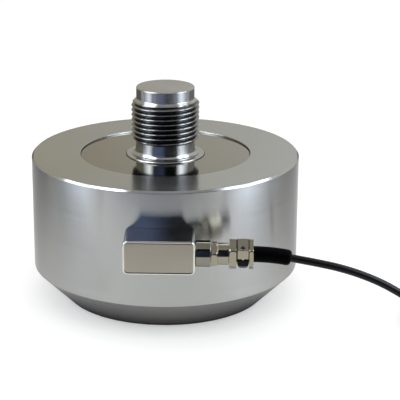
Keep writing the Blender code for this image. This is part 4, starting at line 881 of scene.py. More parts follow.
# %% Connection box
BOX_WIDTH = 40.6
BOX_HEIGHT = 19.7
BOX_CORNER = 3.0
BOX_CENTRE_Z = 58.3
SADDLE_RADIUS = 82.8
RIM_ROUNDING = 0.55
POCKET_INSET = 0.9
POCKET_DEPTH = 0.7
POCKET_EDGE = 0.12


def box_surface():
    """Rows from the middle of the saddle back to the middle of the pocket's floor. A back row is the
    outline times a share, set back to the cylinder at y = -sqrt(R^2 - x^2). A front row is the outline
    less an inset, at its own depth."""
    outline = rounded_outline(BOX_WIDTH, BOX_HEIGHT, BOX_CORNER)
    back = []
    for share in (0.0, 0.4, 0.8, 0.97, 1.0):
        x, z = (outline * share).T
        back.append(np.stack([x, -np.sqrt(SADDLE_RADIUS**2 - x**2), z], axis=1))
    steps = [(0.0, BOX_FRONT_Y + 4.0), (0.0, BOX_FRONT_Y + RIM_ROUNDING + 0.05)]
    steps += round_the_edge(RIM_ROUNDING, BOX_FRONT_Y, 7)
    steps += [(POCKET_INSET - POCKET_EDGE, BOX_FRONT_Y), (POCKET_INSET - 0.03, BOX_FRONT_Y + 0.04)]
    steps += [(POCKET_INSET, BOX_FRONT_Y + POCKET_EDGE), (POCKET_INSET, BOX_FRONT_Y + POCKET_DEPTH)]
    front = inset_rows(BOX_WIDTH, BOX_HEIGHT, BOX_CORNER, steps)
    floor = [front[-1] * [0.6, 1, 0.6], front[-1] * [0, 1, 0]]
    return (np.stack(back + front + floor) + [0, 0, BOX_CENTRE_Z]) * MM


box = surface_piece("connection_box", box_surface())
dress(box, BOX_NICKEL)
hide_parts("junction_box")
print_measures(box)

# %% [markdown]
# The plate in the box's front is satin aluminium, here without any text. It is a thin slab with round
# corners and softened edges, made of the same rows as the box. Its brushing runs along its length and
# is finer and fainter than the cutter's marks.

# %% Bare plate
PLATE_GAP = 0.45
PLATE_THICKNESS = 0.4
PLATE_ROUNDING = 0.1


def plate_surface():
    """Rows from the middle of the back, round the edge, to the middle of the front."""
    around_plate = 2 * (POCKET_INSET + PLATE_GAP)
    steps = [(0.0, BOX_FRONT_Y + PLATE_THICKNESS), (0.0, BOX_FRONT_Y + PLATE_ROUNDING)]
    steps += round_the_edge(PLATE_ROUNDING, BOX_FRONT_Y, 5)
    steps.append((PLATE_ROUNDING + 0.05, BOX_FRONT_Y))
    rows = inset_rows(
        BOX_WIDTH - around_plate, BOX_HEIGHT - around_plate, BOX_CORNER - around_plate / 2, steps
    )
    back_middle, front_middle = rows[0] * [0, 1, 0], rows[-1] * [0, 1, 0]
    return (np.stack([back_middle, *rows, front_middle]) + [0, 0, BOX_CENTRE_Z]) * MM


SATIN_PLATE = milled_nickel("brushed_aluminium_plate", "9d978a", 0.34, mark_mm=0.625, marked=0.12)
plate = surface_piece("bare_plate", plate_surface())
dress(plate, SATIN_PLATE)
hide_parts("name_plate")
print_measures(plate)

# %% [markdown]
# The connector is nickel-plated brass, turned bright. Nickel over brass is a warm, creamy white metal
# next to the bluish steel. Slow changes in its polish, some 4 mm across, break up the long highlights.
# The collar on the box is drawn a little darker.

# %% Nickelled brass
CONNECTOR_CENTRE = (0.0, -96.0, 58.3)


def nickelled_brass(name, colour):
    """Bright nickel whose roughness wanders between 0.08 and 0.18."""
    parts = new_material(name, colour, 0.2, metallic=1.0)
    return uneven_sheen(parts, grain_mm=4.17, low=0.08, high=0.18, detail=4.0)


NICKEL = nickelled_brass("nickel_plated_brass", "918b7b")
# The collar's nickel is drawn a little darker than the rest.
COLLAR_NICKEL = nickelled_brass("darker_nickel_plated_brass", "807d73")
print("nickel:", NICKEL.name, COLLAR_NICKEL.name)

# %% [markdown]
# The panel connector is screwed into the box's side. From the box outwards it has a thin nose, a
# collar with a groove for its seal, and a spigot that the plug slides over. It is a lathe again, along
# X this time, and its profile runs out along the outside and back through the bore.

# %% Panel connector
NOSE_RADIUS = 4.5
NOSE_START = 12.5
INSERT_RADIUS = 3.2
COLLAR_RADIUS = 7.5
COLLAR_START = 20.3
COLLAR_END = 29.1
GROOVE_END = 22.3
SPIGOT_RADIUS = 5.2
SPIGOT_BORE = 4.6
SPIGOT_END = 36.0


def receptacle_profile():
    """Corners (distance from the connector's axis, x, rounding), from the bore and round to it."""
    return rounded_profile(
        [
            (INSERT_RADIUS, 18, 0), (INSERT_RADIUS, NOSE_START, 0.2), (NOSE_RADIUS, NOSE_START, 0.2),
            (NOSE_RADIUS, COLLAR_START, 0), (SPIGOT_RADIUS, COLLAR_START, 0.05),
            (SPIGOT_RADIUS, GROOVE_END, 0.1), (7.1, GROOVE_END, 0.1), (7.1, COLLAR_START, 0.1),
            (7.3, COLLAR_START, 0.1), (COLLAR_RADIUS, COLLAR_START + 0.5, 0.25),
            (COLLAR_RADIUS, COLLAR_END - 0.3, 0.1), (COLLAR_RADIUS - 0.3, COLLAR_END, 0.1),
            (SPIGOT_RADIUS, COLLAR_END, 0.1), (SPIGOT_RADIUS, SPIGOT_END, 0.2),
            (SPIGOT_BORE, SPIGOT_END, 0.2), (SPIGOT_BORE, 24.0, 0.1), (INSERT_RADIUS, 24.0, 0.1),
            (INSERT_RADIUS, 18, 0),
        ],
        steps=4,
    )[:-1]


receptacle_points = spin(receptacle_profile(), SMALL_FACETS, "x", CONNECTOR_CENTRE)
receptacle = surface_piece("panel_connector", receptacle_points, closed_rows=True)
dress(receptacle, COLLAR_NICKEL)
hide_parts("receptacle_shell")
print_measures(receptacle)

# %% [markdown]
# The coupling ring starts with six short wrench flats and goes on as a plain round sleeve. A hexagon cut
# across a turned blank is the smaller of two distances from the axis at every angle, the flat's and
# the blank's, and that is exactly how the surface is worked out.

# %% Coupling ring
RING_START = 29.4
RING_BORE = 5.5
SLEEVE_RADIUS = 6.25
SLEEVE_END = 39.2
SLEEVE_LIP = 4.85
FLATS_ACROSS = 13.1
FLATS_END = 33.0
FLATS_TURN = 13.8
SHARP_ON_HEXAGONS = 20


def hexagonal(profile, flats, first_corner, across, facets=360, sharpness=150):
    """A lathe surface along X whose radius r is cut by a hexagon: at angle a the flat is at
    f = (across / 2) / cos(b), where b is the angle to the nearest flat's middle. The smaller of the two
    is taken softly, as (r^-p + f^-p)^(-1/p), so that the corners are a little round. Only profile
    points that are marked in flats are cut."""
    angle = 2 * np.pi * np.arange(facets) / facets
    from_flat = (angle - np.radians(first_corner)) % (np.pi / 3) - np.pi / 6
    limit = (across / 2) / np.cos(from_flat)
    soft = (profile[:, :1] ** -sharpness + limit[None, :] ** -sharpness) ** (-1 / sharpness)
    r = np.where(flats[:, None], soft, profile[:, :1])
    x = profile[:, 1:] + 0 * angle
    points = np.stack([x, -r * np.cos(angle), r * np.sin(angle)], axis=-1) + np.array(CONNECTOR_CENTRE)
    return points * MM


def coupling_surface():
    """Flats on a short collar, a turned step down to the sleeve, and the bore with its inner lip."""
    profile = rounded_profile(
        [
            (RING_BORE, 33, 0), (RING_BORE, RING_START, 0.1), (7.0, RING_START, 0.1),
            (7.4, RING_START + 0.4, 0.1), (7.4, 32.2, 0.1), (6.6, 32.9, 0.2), (SLEEVE_RADIUS, 33.1, 0.1),
            (SLEEVE_RADIUS, SLEEVE_END, 0.25), (SLEEVE_LIP, SLEEVE_END, 0.1),
            (SLEEVE_LIP, SLEEVE_END - 1.0, 0.1), (RING_BORE, SLEEVE_END - 1.0, 0.1), (RING_BORE, 33, 0),
        ],
        steps=4,
    )[:-1]
    flats = (profile[:, 0] > 6.4) & (profile[:, 1] < FLATS_END)
    return hexagonal(profile, flats, FLATS_TURN, FLATS_ACROSS)


coupling = surface_piece("coupling_sleeve", coupling_surface(), True, SHARP_ON_HEXAGONS)
dress(coupling, NICKEL)
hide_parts("coupling_ring")
print_measures(coupling)

# %% [markdown]
# The cable clamp is a six-sided shell with a window between two flanges. The flanges are hexagonal
# lathe surfaces again. The link that joins them behind the cable is a bent slab, whose outside follows
# the hexagon and whose inside follows the bore. It runs a little into both flanges, as one casting.

# %% Cable clamp
CLAMP_START = 39.5
CLAMP_END = 52.9
FRONT_FLANGE_END = 43.3
REAR_FLANGE_START = 50.6
CLAMP_ACROSS = 15.7
CLAMP_BORE = 4.85
CLAMP_BLANK = 8.95
CLAMP_TURN = 30
LINK_ANGLES = (104, 248)
LINK_OVERLAP = 0.3


def joined_piece(name, *meshes):
    """A piece that is several closed shells in one mesh, such as a casting drawn in parts."""
    data = bpy.data.meshes.new(name)
    work = bmesh.new()
    for mesh in meshes:
        work.from_mesh(mesh)
    work.to_mesh(data)
    work.free()
    shade(data, SHARP_ANGLE)
    return new_object(name, data)


def flange(start, end, taper):
    """A hexagonal ring: a turned blank with tapered corners at its start, cut by the hexagon."""
    middle = (start + end) / 2
    profile = rounded_profile(
        [
            (CLAMP_BORE, middle, 0), (CLAMP_BORE, start, 0.15), (CLAMP_BLANK - taper, start, 0.1),
            (CLAMP_BLANK, start + taper, 0.1), (CLAMP_BLANK, end - 0.3, 0.1),
            (CLAMP_BLANK - 0.4, end, 0.1), (CLAMP_BORE, end, 0.15), (CLAMP_BORE, middle, 0),
        ],
        steps=4,
    )[:-1]
    flats = profile[:, 0] > 5.2
    points = hexagonal(profile, flats, CLAMP_TURN, CLAMP_ACROSS)
    return grid_mesh("flange", points, True, SHARP_ON_HEXAGONS)


def link():
    """Each row is the slab's section at one x: the hexagon out and the bore back, between two
    angles. The first and last rows are shrunk to the section's middle, which closes the ends."""
    angle = np.radians(np.linspace(*LINK_ANGLES, 30))
    from_flat = (angle - np.radians(CLAMP_TURN)) % (np.pi / 3) - np.pi / 6
    outer = (CLAMP_ACROSS / 2 - 0.02) / np.cos(from_flat)
    inner = np.full_like(outer, CLAMP_BORE + 0.05)
    ring = np.concatenate([outer, inner[::-1]])
    turn = np.concatenate([angle, angle[::-1]])
    y, z = -ring * np.cos(turn), ring * np.sin(turn)
    start, end = FRONT_FLANGE_END - LINK_OVERLAP, REAR_FLANGE_START + LINK_OVERLAP
    rows = []
    for x, share in ((start, 0), (start, 1), (end, 1), (end, 0)):
        row_y = y.mean() + (y - y.mean()) * share
        row_z = z.mean() + (z - z.mean()) * share
        rows.append(np.stack([np.full_like(y, x), row_y, row_z], axis=1))
    return grid_mesh("link", (np.stack(rows) + np.array(CONNECTOR_CENTRE)) * MM)


front_flange = flange(CLAMP_START, FRONT_FLANGE_END, 0.5)
rear_flange = flange(REAR_FLANGE_START, CLAMP_END, 0.3)
clamp = joined_piece("clamp_shell", front_flange, rear_flange, link())
dress(clamp, NICKEL)
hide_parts("clamp_body")
print_measures(clamp)

# %% [markdown]
# In the clamp's window a saddle is screwed down on the cable's sleeve, over a black plastic shoe. Saddle
# and shoe keep their CAD shape, because their screw seats and cable channels are already exact there.
# A CAD node is loose triangles, so a copy is merged, its flat faces are joined, and a small bevel
# modifier breaks the edges.

# %% Saddle and shoe
FLAT_ANGLE = 2
BEVELLED_FROM = 40
SMOOTH_UNTIL = 30


def bevelled_copy(name, node, width):
    """A merged copy of a CAD node with its flat faces joined and every sharp edge bevelled."""
    mesh = frame["nodes"][node].data.copy()
    mesh.name = name
    work = bmesh.new()
    work.from_mesh(mesh)
    bmesh.ops.remove_doubles(work, verts=work.verts, dist=SAME_PLACE)
    bmesh.ops.dissolve_limit(work, angle_limit=np.radians(FLAT_ANGLE), verts=work.verts, edges=work.edges)
    work.to_mesh(mesh)
    work.free()
    shade(mesh, SMOOTH_UNTIL)
    piece = new_object(name, mesh)
    soften = piece.modifiers.new("soften", "BEVEL")
    soften.width = width
    soften.segments = 2
    soften.limit_method = "ANGLE"
    soften.angle_limit = np.radians(BEVELLED_FROM)
    soften.harden_normals = True
    return piece


SHOE_PLASTIC, _, _ = new_material("black_shoe_plastic", "060607", 0.3, ior=1.52, specular=0.12)
saddle = bevelled_copy("clamp_saddle_plate", "clamp_saddle", 0.15 * MM)
dress(saddle, NICKEL)
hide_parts("clamp_saddle")
shoe = bevelled_copy("clamp_shoe_block", "clamp_shoe", 0.3 * MM)
dress(shoe, SHOE_PLASTIC)
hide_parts("clamp_shoe")
print_measures(saddle)
print_measures(shoe)

# %% [markdown]
# The boot is a black rubber sleeve. It is straight in the clamp, then sinks as a parabola with the
# cable, and its free end is rounded. A tube round a bent line needs a frame at each station: here the line
# stays in one upright plane, so the side vector is always -Y and the other follows the slope.

# %% Boot
BOOT_RADIUS = 4.55
BOOT_START = 42.3
BOOT_END = 74.0
BOOT_END_ROUNDING = 2.2
BOOT_MOUTH = 2.9
BOOT_BORE = 2.4
BOOT_TAPER = 0.06
BOOT_DROOP = 2.1
BOOT_LENGTH = 21.1
BOOT_FACETS = 56


def boot_outline():
    """Stations (x, radius): the outside, the rounded end, and the inside back along the cable with
    0.15 mm to spare."""
    run = BOOT_END - BOOT_END_ROUNDING
    outside_x = np.concatenate([[BOOT_START, BOOT_START + 0.4], np.linspace(44, run, 40)])
    outside_r = np.concatenate([[BOOT_RADIUS - 0.3], np.full(41, BOOT_RADIUS)])
    outside_r = outside_r - BOOT_TAPER * np.clip((outside_x - CLAMP_END) / BOOT_LENGTH, 0, 1)
    quarter = np.radians(np.linspace(8, 90, 9))
    end_x = run + BOOT_END_ROUNDING * np.sin(quarter)
    end_r = BOOT_MOUTH + (outside_r[-1] - BOOT_MOUTH) * np.cos(quarter)
    inside_x = np.linspace(BOOT_END, BOOT_START, 36)
    x = np.concatenate([outside_x, end_x, inside_x])
    return x, np.concatenate([outside_r, end_r, np.full(36, BOOT_BORE)])


def boot_surface():
    """A ring round each station. The line's height is -droop * ((x - clamp end) / length)^2 past the
    clamp, and each ring is square to the line's slope."""
    x, r = boot_outline()
    past = np.clip(x - CLAMP_END, 0, None)
    drop = -BOOT_DROOP * (past / BOOT_LENGTH) ** 2
    slope = np.arctan(-2 * BOOT_DROOP * past / BOOT_LENGTH**2)
    angle = 2 * np.pi * np.arange(BOOT_FACETS) / BOOT_FACETS
    across = r[:, None] * np.cos(angle)
    rise = r[:, None] * np.sin(angle)
    ring_x = x[:, None] - rise * np.sin(slope)[:, None]
    ring_z = drop[:, None] + rise * np.cos(slope)[:, None]
    return (np.stack([ring_x, -across, ring_z], axis=-1) + np.array(CONNECTOR_CENTRE)) * MM


boot = surface_piece("cable_sleeve", boot_surface(), closed_rows=True)
dress(boot, RUBBER)
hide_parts("cable_boot")
print_measures(boot)

# %% [markdown]
# The cable's far end and the two ties are outside the picture, and are seen from other sides only.
# The ties are black nylon straps, slightly glossy, with a moulding haze some 3 mm across. They keep
# their CAD shape, with softened edges.

# %% Coil ties
plain_nylon = new_material("nylon_strap", "151517", 0.4, ior=1.53)
NYLON = uneven_sheen(plain_nylon, grain_mm=3.03, low=0.32, high=0.5, detail=2.0)
for number in (1, 2):
    tie = bevelled_copy(f"coil_strap_{number}", f"coil_tie_{number}", 0.3 * MM)
    dress(tie, NYLON)
    unmirrored(tie)
    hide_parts(f"coil_tie_{number}")
    print_measures(tie)

# %% [markdown]
# The plug at the far end screws into the measuring instrument. It is a boot, a shell and a coupling
# ring on one axis along Y, each a lathe of its own. The ring is gripped by hand, so its outside is
# knurled: its radius sinks and rises 36 times a turn.

# %% Far plug
FAR_PLUG_CENTRE = (TAIL_X / MM, (COIL_CENTRE[1] + PLUG_START) / MM, PLUG_AXIS_HEIGHT / MM)
KNURL_RIBS = 36
KNURL_DEPTH = 0.45
KNURL_FROM = 27.3
KNURL_TO = 36.9
KNURL_INNER = 7.2
FAR_BOOT = (
    (2.4, 7, 0), (2.4, 0.2, 0.2), (3.5, 0.2, 0.5), (5.5, 12, 1.5), (5.5, 13.8, 0.3), (2.4, 13.8, 0.2),
    (2.4, 7, 0),
)
FAR_SHELL = (
    (2.55, 18, 0), (2.55, 14.3, 0.2), (5.5, 14.3, 0.3), (7.2, 16.3, 0.6), (7.2, 26.0, 0.2),
    (6.0, 26.0, 0.1), (6.0, 34.3, 0.2), (5.8, 34.3, 0.1), (5.8, 25.3, 0.1), (2.55, 25.3, 0.1),
    (2.55, 18, 0),
)
FAR_RING = (
    (6.3, 30, 0), (6.3, 26.3, 0.2), (7.5, 26.3, 0.2), (8.0, 27.0, 0.2), (8.0, 27.6, 0.1),
    (8.0, 36.6, 0.1), (8.0, 37.6, 0.2), (7.5, 38.3, 0.2), (6.3, 38.3, 0.2), (6.3, 30, 0),
)


def far_plug_surface(corners, knurled, facets):
    """A lathe along Y from corners (distance from the axis, y, rounding). Where it is knurled, the
    outside's radius sinks by the depth times half of (1 + cos(ribs * angle))."""
    profile = rounded_profile(corners, steps=4)[:-1]
    points = spin(profile, facets, "y", FAR_PLUG_CENTRE)
    if not knurled:
        return points
    angle = 2 * np.pi * np.arange(facets) / facets
    radius, along = profile[:, 0], profile[:, 1]
    held = (along > KNURL_FROM) & (along < KNURL_TO) & (radius > KNURL_INNER)
    sunk = held[:, None] * KNURL_DEPTH * (0.5 + 0.5 * np.cos(KNURL_RIBS * angle))
    share = 1 - sunk / profile[:, :1]
    centre = np.array(FAR_PLUG_CENTRE) * MM
    offset = points - centre
    offset[..., 0] *= share
    offset[..., 2] *= share
    return centre + offset


for name, node, material, slot, corners, knurled, facets in (
    ("far_plug_boot", "instrument_plug_boot", RUBBER, "cable_boot", FAR_BOOT, False, SMALL_FACETS),
    ("far_plug_shell", "instrument_plug_shell", NICKEL, "connector_shell", FAR_SHELL, False, SMALL_FACETS),
    ("far_plug_ring", "instrument_plug_ring", NICKEL, "connector_shell", FAR_RING, True, 4 * KNURL_RIBS),
):
    piece = surface_piece(name, far_plug_surface(corners, knurled, facets), closed_rows=True)
    dress(piece, material)
    unmirrored(piece)
    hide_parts(node)
    print_measures(piece)

# %% [markdown]

# %% [markdown]
# The pieces that stay as CAD solids are inside, underneath or small. Each still gets the finish
# of the real thing, so that a cut or an underside view holds up: a turned cover, blackened and
# zinc-plated screws, gilt contacts, moulded insulators, an amber film for the gauges and a green board.

# %% Finishes of the carried-over pieces
def moulded_plastic(name, colour, roughness):
    """Moulded plastic with a fine spark-eroded grain, about 0.3 mm, in its bump."""
    parts = new_material(name, colour, roughness, ior=1.5)
    return moulded_grain(parts, grain_mm=0.303, strength=0.1, depth_mm=0.03)


def varied_metal(name, colour, roughness, grain_mm):
    """A metal whose roughness varies by a quarter either way, over grains of a size."""
    parts = new_material(name, colour, roughness, metallic=1.0)
    return uneven_sheen(parts, grain_mm, roughness * 0.75, roughness * 1.25)


COVER_STEEL = turned_steel("turned_cover_steel", "a3a3a1", 0.24)
BLACKENED = varied_metal("blackened_steel", "2b2b2d", 0.38, 2.5)
BRIGHT_SCREW = varied_metal("bright_zinc_plated_screw", "cfcdc6", 0.22, 2.0)
GILT = varied_metal("gilt_contact", "e0bb70", 0.25, 1.67)
INSULATOR = moulded_plastic("black_polyamide_insert", "18181a", 0.42)
POLYIMIDE = moulded_plastic("polyimide_gauge_film", "b5702a", 0.32)
BOARD = moulded_plastic("green_solder_resist", "1c5a3a", 0.3)
CARRIED = (
    ("base_plate", COVER_STEEL),
    ("base_screw", BLACKENED),
    ("box_screw", BLACKENED),
    ("clamp_screw", BRIGHT_SCREW),
    ("base_seal", RUBBER),
    ("box_gasket", RUBBER),
    ("receptacle_seal", RUBBER),
    ("wire_bush", RUBBER),
    ("signal_wires", JACKET),
    ("strain_gauge", POLYIMIDE),
    ("bridge_board", BOARD),
    ("balance_resistor", INSULATOR),
    ("receptacle_insert", INSULATOR),
    ("plug_insert", INSULATOR),
    ("instrument_plug_insert", INSULATOR),
    ("contact_pin", GILT),
    ("socket_contact", GILT),
    ("plug_shell", NICKEL),
)
dressed = []
for name, node in frame["nodes"].items():
    for start, material in CARRIED:
        if name == start or name.startswith(start + "_"):
            dress(node, material)
            dressed.append(name)
print("carried over:", len(dressed), "pieces")

# %% [markdown]
# The floor is plain pale paper. It is wide, so that every reflection that looks down ends on it. The
# photograph's background is pure white, so the paper adds a little light of its own where the camera
# or a reflection looks at it, and nowhere else. It keeps the object's soft shadow.

# %% Floor
FLOOR_SIZE = 8.0
FLOOR_DEPTH = 0.2 * MM
FLOOR_LIFT = 0.34


def let_glow(tree, shader, colour, strength):
    """Gives a shader light of its own. The strength is a number or a node's output."""
    shader.inputs["Emission Color"].default_value = linear(colour)
    if isinstance(strength, bpy.types.NodeSocket):
        tree.links.new(strength, shader.inputs["Emission Strength"])
    else:
        shader.inputs["Emission Strength"].default_value = strength


def studio_floor():
    """One large square just under the object. Its shader adds an emission of FLOOR_LIFT times
    max(is camera ray, is glossy ray)."""
    half = FLOOR_SIZE / 2
    corners = [(x * half, y * half, -FLOOR_DEPTH) for x, y in ((-1, -1), (1, -1), (1, 1), (-1, 1))]
    mesh = bpy.data.meshes.new("floor")
    mesh.from_pydata(corners, [], [(0, 1, 2, 3)])
    material, tree, shader = new_material("floor_paper", "eeeeec", 0.9, specular=0.1)
    ray = add_node(tree, "ShaderNodeLightPath")
    seen = add_node(
        tree, "ShaderNodeMath", {"operation": "MAXIMUM"}, in0=ray.outputs["Is Camera Ray"],
        in1=ray.outputs["Is Glossy Ray"],
    )
    lift = add_node(
        tree, "ShaderNodeMath", {"operation": "MULTIPLY"}, in0=seen.outputs["Value"], in1=FLOOR_LIFT
    )
    let_glow(tree, shader, "ffffff", lift.outputs["Value"])
    mesh.materials.append(material)
    new_object("floor", mesh)


studio_floor()
print("floor:", FLOOR_SIZE, "m wide")

# %% [markdown]
# Bright metal shows little but its surroundings, so the studio is built as the photographer built it,
# out of cards that only reflections see. The camera, the shadows and the plain light on the object
# don't change with them. The plainest card is a matt quadrilateral, which takes the studio's light.

# %% Cards that only reflections see
def mirrored_only(name, mesh):
    """Stages a mesh that the camera, diffuse light and shadows pass through."""
    card = new_object(name, mesh)
    card.visible_camera = False
    card.visible_diffuse = False
    card.visible_shadow = False
    card.visible_transmission = False
    return card


def reflection_card(name, corners_mm, colour):
    """A matt card from four corners in mm; returns its node tree and its shader."""
    mesh = bpy.data.meshes.new(name)
    mesh.from_pydata([tuple(np.array(corner) * MM) for corner in corners_mm], [], [(0, 1, 2, 3)])
    material, tree, shader = new_material(name, colour, 1.0, specular=0.0)
    mesh.materials.append(material)
    mirrored_only(name, mesh)
    return tree, shader


def standing(start, end, low, high):
    """The corners of an upright card between two places (x, y) on the floor."""
    return [(*start, low), (*end, low), (*end, high), (*start, high)]


def level(from_x, to_x, from_y, to_y, height):
    """The corners of a level card at a height, such as paper on the floor beside the object."""
    return [(from_x, from_y, height), (to_x, from_y, height), (to_x, to_y, height), (from_x, to_y, height)]


def around(azimuth, distance):
    """The place (x, y) at an angle from the front, counted to the right, and a distance, in mm."""
    angle = np.radians(azimuth)
    return (distance * np.sin(angle), -distance * np.cos(angle))


print("a card straight ahead stands at", [round(float(place)) for place in around(0, 400)], "mm")

# %% [markdown]
# Light on paper and cloth is never even, and bright metal shows that more than anything. So most cards
# are black and have a glow of their own, which is a product of fades: each fade goes from one share to
# another between two places and is even beyond them.
#
# The first are the room behind the camera, which the metal mirrors between the lights. It is bluish
# and dark: a low band that is brighter at the floor, a middle one that is brighter on the left, and a
# dull one above. It gives the stud its dark middle and, by way of the body's side, the box's top its
# blue.

# %% Room behind the camera
ROOM_BLUE = "7488ba"
ROOM_Y = -340
ROOM_HALF_WIDTH = 345
ROOM_LEVELS = (0, 60, 260, 470)


def faded(tree, strength, fades):
    """A strength times one fade after another. Each is (output, its value at the start, its value at
    the end, share at the start, share at the end), and is even beyond them."""
    for place, start, end, before, after in fades:
        part = add_node(
            tree, "ShaderNodeMapRange", Value=place, From_Min=start, From_Max=end, To_Min=before, To_Max=after
        )
        product = add_node(
            tree, "ShaderNodeMath", {"operation": "MULTIPLY"}, in0=strength, in1=part.outputs["Result"]
        )
        strength = product.outputs["Value"]
    return strength


def fading_card(name, corners_mm, colour, *fades):
    """A card whose glow is a product of fades. Each is (axis, two places on it in mm, the strength at
    the first, the strength at the second), and is even beyond them."""
    tree, shader = reflection_card(name, corners_mm, "000000")
    place = add_node(tree, "ShaderNodeTexCoord").outputs["Object"]
    axes = add_node(tree, "ShaderNodeSeparateXYZ", Vector=place)
    fades = [(axes.outputs[axis], start * MM, end * MM, *shares) for axis, (start, end), *shares in fades]
    let_glow(tree, shader, colour, faded(tree, 1.0, fades))


def room(index):
    """The corners of one of the room's three bands, counted from the floor."""
    low, high = ROOM_LEVELS[index : index + 2]
    return standing((-ROOM_HALF_WIDTH, ROOM_Y), (ROOM_HALF_WIDTH, ROOM_Y), low, high)


fading_card("room_low", room(0), ROOM_BLUE, ("Z", (0, 16), 1.3, 0.13))
fading_card("room_middle", room(1), ROOM_BLUE, ("X", (-70, 40), 1.5, 0.03))
reflection_card("room_high", room(2), "1a1c20")
print("room:", 2 * ROOM_HALF_WIDTH, "mm wide,", ROOM_LEVELS[-1], "mm high")

# %% [markdown]
# Grey walls further round keep the body's outer edges quiet. The body's side looks down on the paper
# beside the object, which is bright near it and fades outwards and backwards. A pale roof hangs over
# it all, for the edges and flanks that look up.

# %% Walls, paper and roof
WALL_HEIGHT = 110
WALL_NEAR = (104, 400)
WALL_FAR = (158, 440)
PAPER_INNER = 84
PAPER_OUTER = 560
PAPER_FRONT = -150
PAPER_BACK = 420
ROOF_HEIGHT = 900


for name, side, grey in (("left_wall", -1, "848484"), ("right_wall", 1, "a0a0a0")):
    near, far = (around(side * azimuth, distance) for azimuth, distance in (WALL_NEAR, WALL_FAR))
    reflection_card(name, standing(near, far, 0, WALL_HEIGHT), grey)
left_paper = level(-PAPER_OUTER, -PAPER_INNER, PAPER_FRONT, PAPER_BACK, 0)
right_paper = level(PAPER_INNER, PAPER_OUTER, PAPER_FRONT, PAPER_BACK, 0)
fading_card("left_paper", left_paper, "ffffff", ("X", (-130, -330), 1.04, 0.55), ("Y", (0, 120), 1.0, 0.76))
fading_card("right_paper", right_paper, "ffffff", ("X", (130, 280), 1.2, 0.8), ("Y", (-60, 60), 1.0, 0.78))
reflection_card("roof", level(-900, 900, -500, 1100, ROOF_HEIGHT), "d8d9dc")
print("paper: from", PAPER_INNER, "to", PAPER_OUTER, "mm on both sides")

# %% [markdown]
# Two upright strip lights stand left and right in front of the object. They draw the long bright bands
# on the side and on the stud. A strip isn't even: it fades towards its ends, and its foot is bright
# because the paper before it is, so the glow is worked out from how far along and how high a place is,
# both as shares of the card. Small panels higher up put the glints on the ring's edge: two beside the
# object and one behind it.

# %% Strip lights and glints
STRIP_COLOUR = "e6efff"
STRIP_CARD_DISTANCE = 372
STRIP_CARD_HEIGHT = 520
STRIP_WAIST = 0.35
GLINT_HALF_WIDTH = 90
GLINT_TILT = (0.78, 0.62)


def glowing_strip(name, inner, outer, radiance, top_gain):
    """A card from an inner azimuth to an outer one, at the strips' distance. Along it the light rises
    over the first two fifths and then fades. Upward it is full at the floor, a third of that above a
    tenth of the height, top_gain between a quarter and two thirds, and then fades."""
    ends = (around(azimuth, STRIP_CARD_DISTANCE) for azimuth in (inner, outer))
    tree, shader = reflection_card(name, standing(*ends, 0, STRIP_CARD_HEIGHT), "000000")
    place = add_node(tree, "ShaderNodeTexCoord").outputs["Generated"]
    axes = add_node(tree, "ShaderNodeSeparateXYZ", Vector=place)
    along, height = axes.outputs["Y"], axes.outputs["Z"]
    fades = (
        (along, 0.0, 0.38, 0.03, 1.0),
        (along, 0.42, 0.85, 1.0, 0.3),
        (height, 0.07, 0.11, 1.0, STRIP_WAIST),
        (height, 0.16, 0.28, 1.0, top_gain / STRIP_WAIST),
        (height, 0.6, 0.9, 1.0, 0.4),
    )
    let_glow(tree, shader, STRIP_COLOUR, faded(tree, radiance, fades))


def glint_panel(name, start, end, radiance):
    """A card that glows evenly, high up beside the object, between two places. Across them it leans
    outwards at the bottom, so that it faces the ring."""
    lean, rise = GLINT_TILT
    corners = []
    for place, side in ((start, -1), (end, -1), (end, 1), (start, 1)):
        place = np.array(place, float)
        out = place[:2] / np.linalg.norm(place[:2])
        across = np.array([-out[0] * lean, -out[1] * lean, rise])
        corners.append(tuple(place + across * GLINT_HALF_WIDTH * side))
    tree, shader = reflection_card(name, corners, "000000")
    let_glow(tree, shader, "ffffff", radiance)


glowing_strip("left_strip_glow", -45, -92, 2.7, top_gain=3.4)
glowing_strip("right_strip_glow", 45, 97, 3.3, top_gain=3.2)
glint_panel("left_glint", (-230, -200, 530), (-475, 90, 505), 11.0)
glint_panel("right_glint", (360, -90, 540), (490, 150, 465), 11.0)
back_panel = reflection_card("back_glint", level(-60, 160, 270, 350, 600), "000000")
let_glow(*back_panel, "ffffff", 5.0)
print("strips:", STRIP_CARD_HEIGHT, "mm high,", STRIP_CARD_DISTANCE, "mm away")

# %% [markdown]
# Under the foot the paper is dark, because little light gets there, and the foot's cone mirrors just
# that ring of paper. It is drawn as one more card: a flat ring that is dark at the foot and pale at
# its outer edge.

# %% Shade round the foot
SHADE_FACETS = 96
SHADE_INNER = 62.0
SHADE_OUTER = 86.0
SHADE_DEPTH = 0.1 * MM


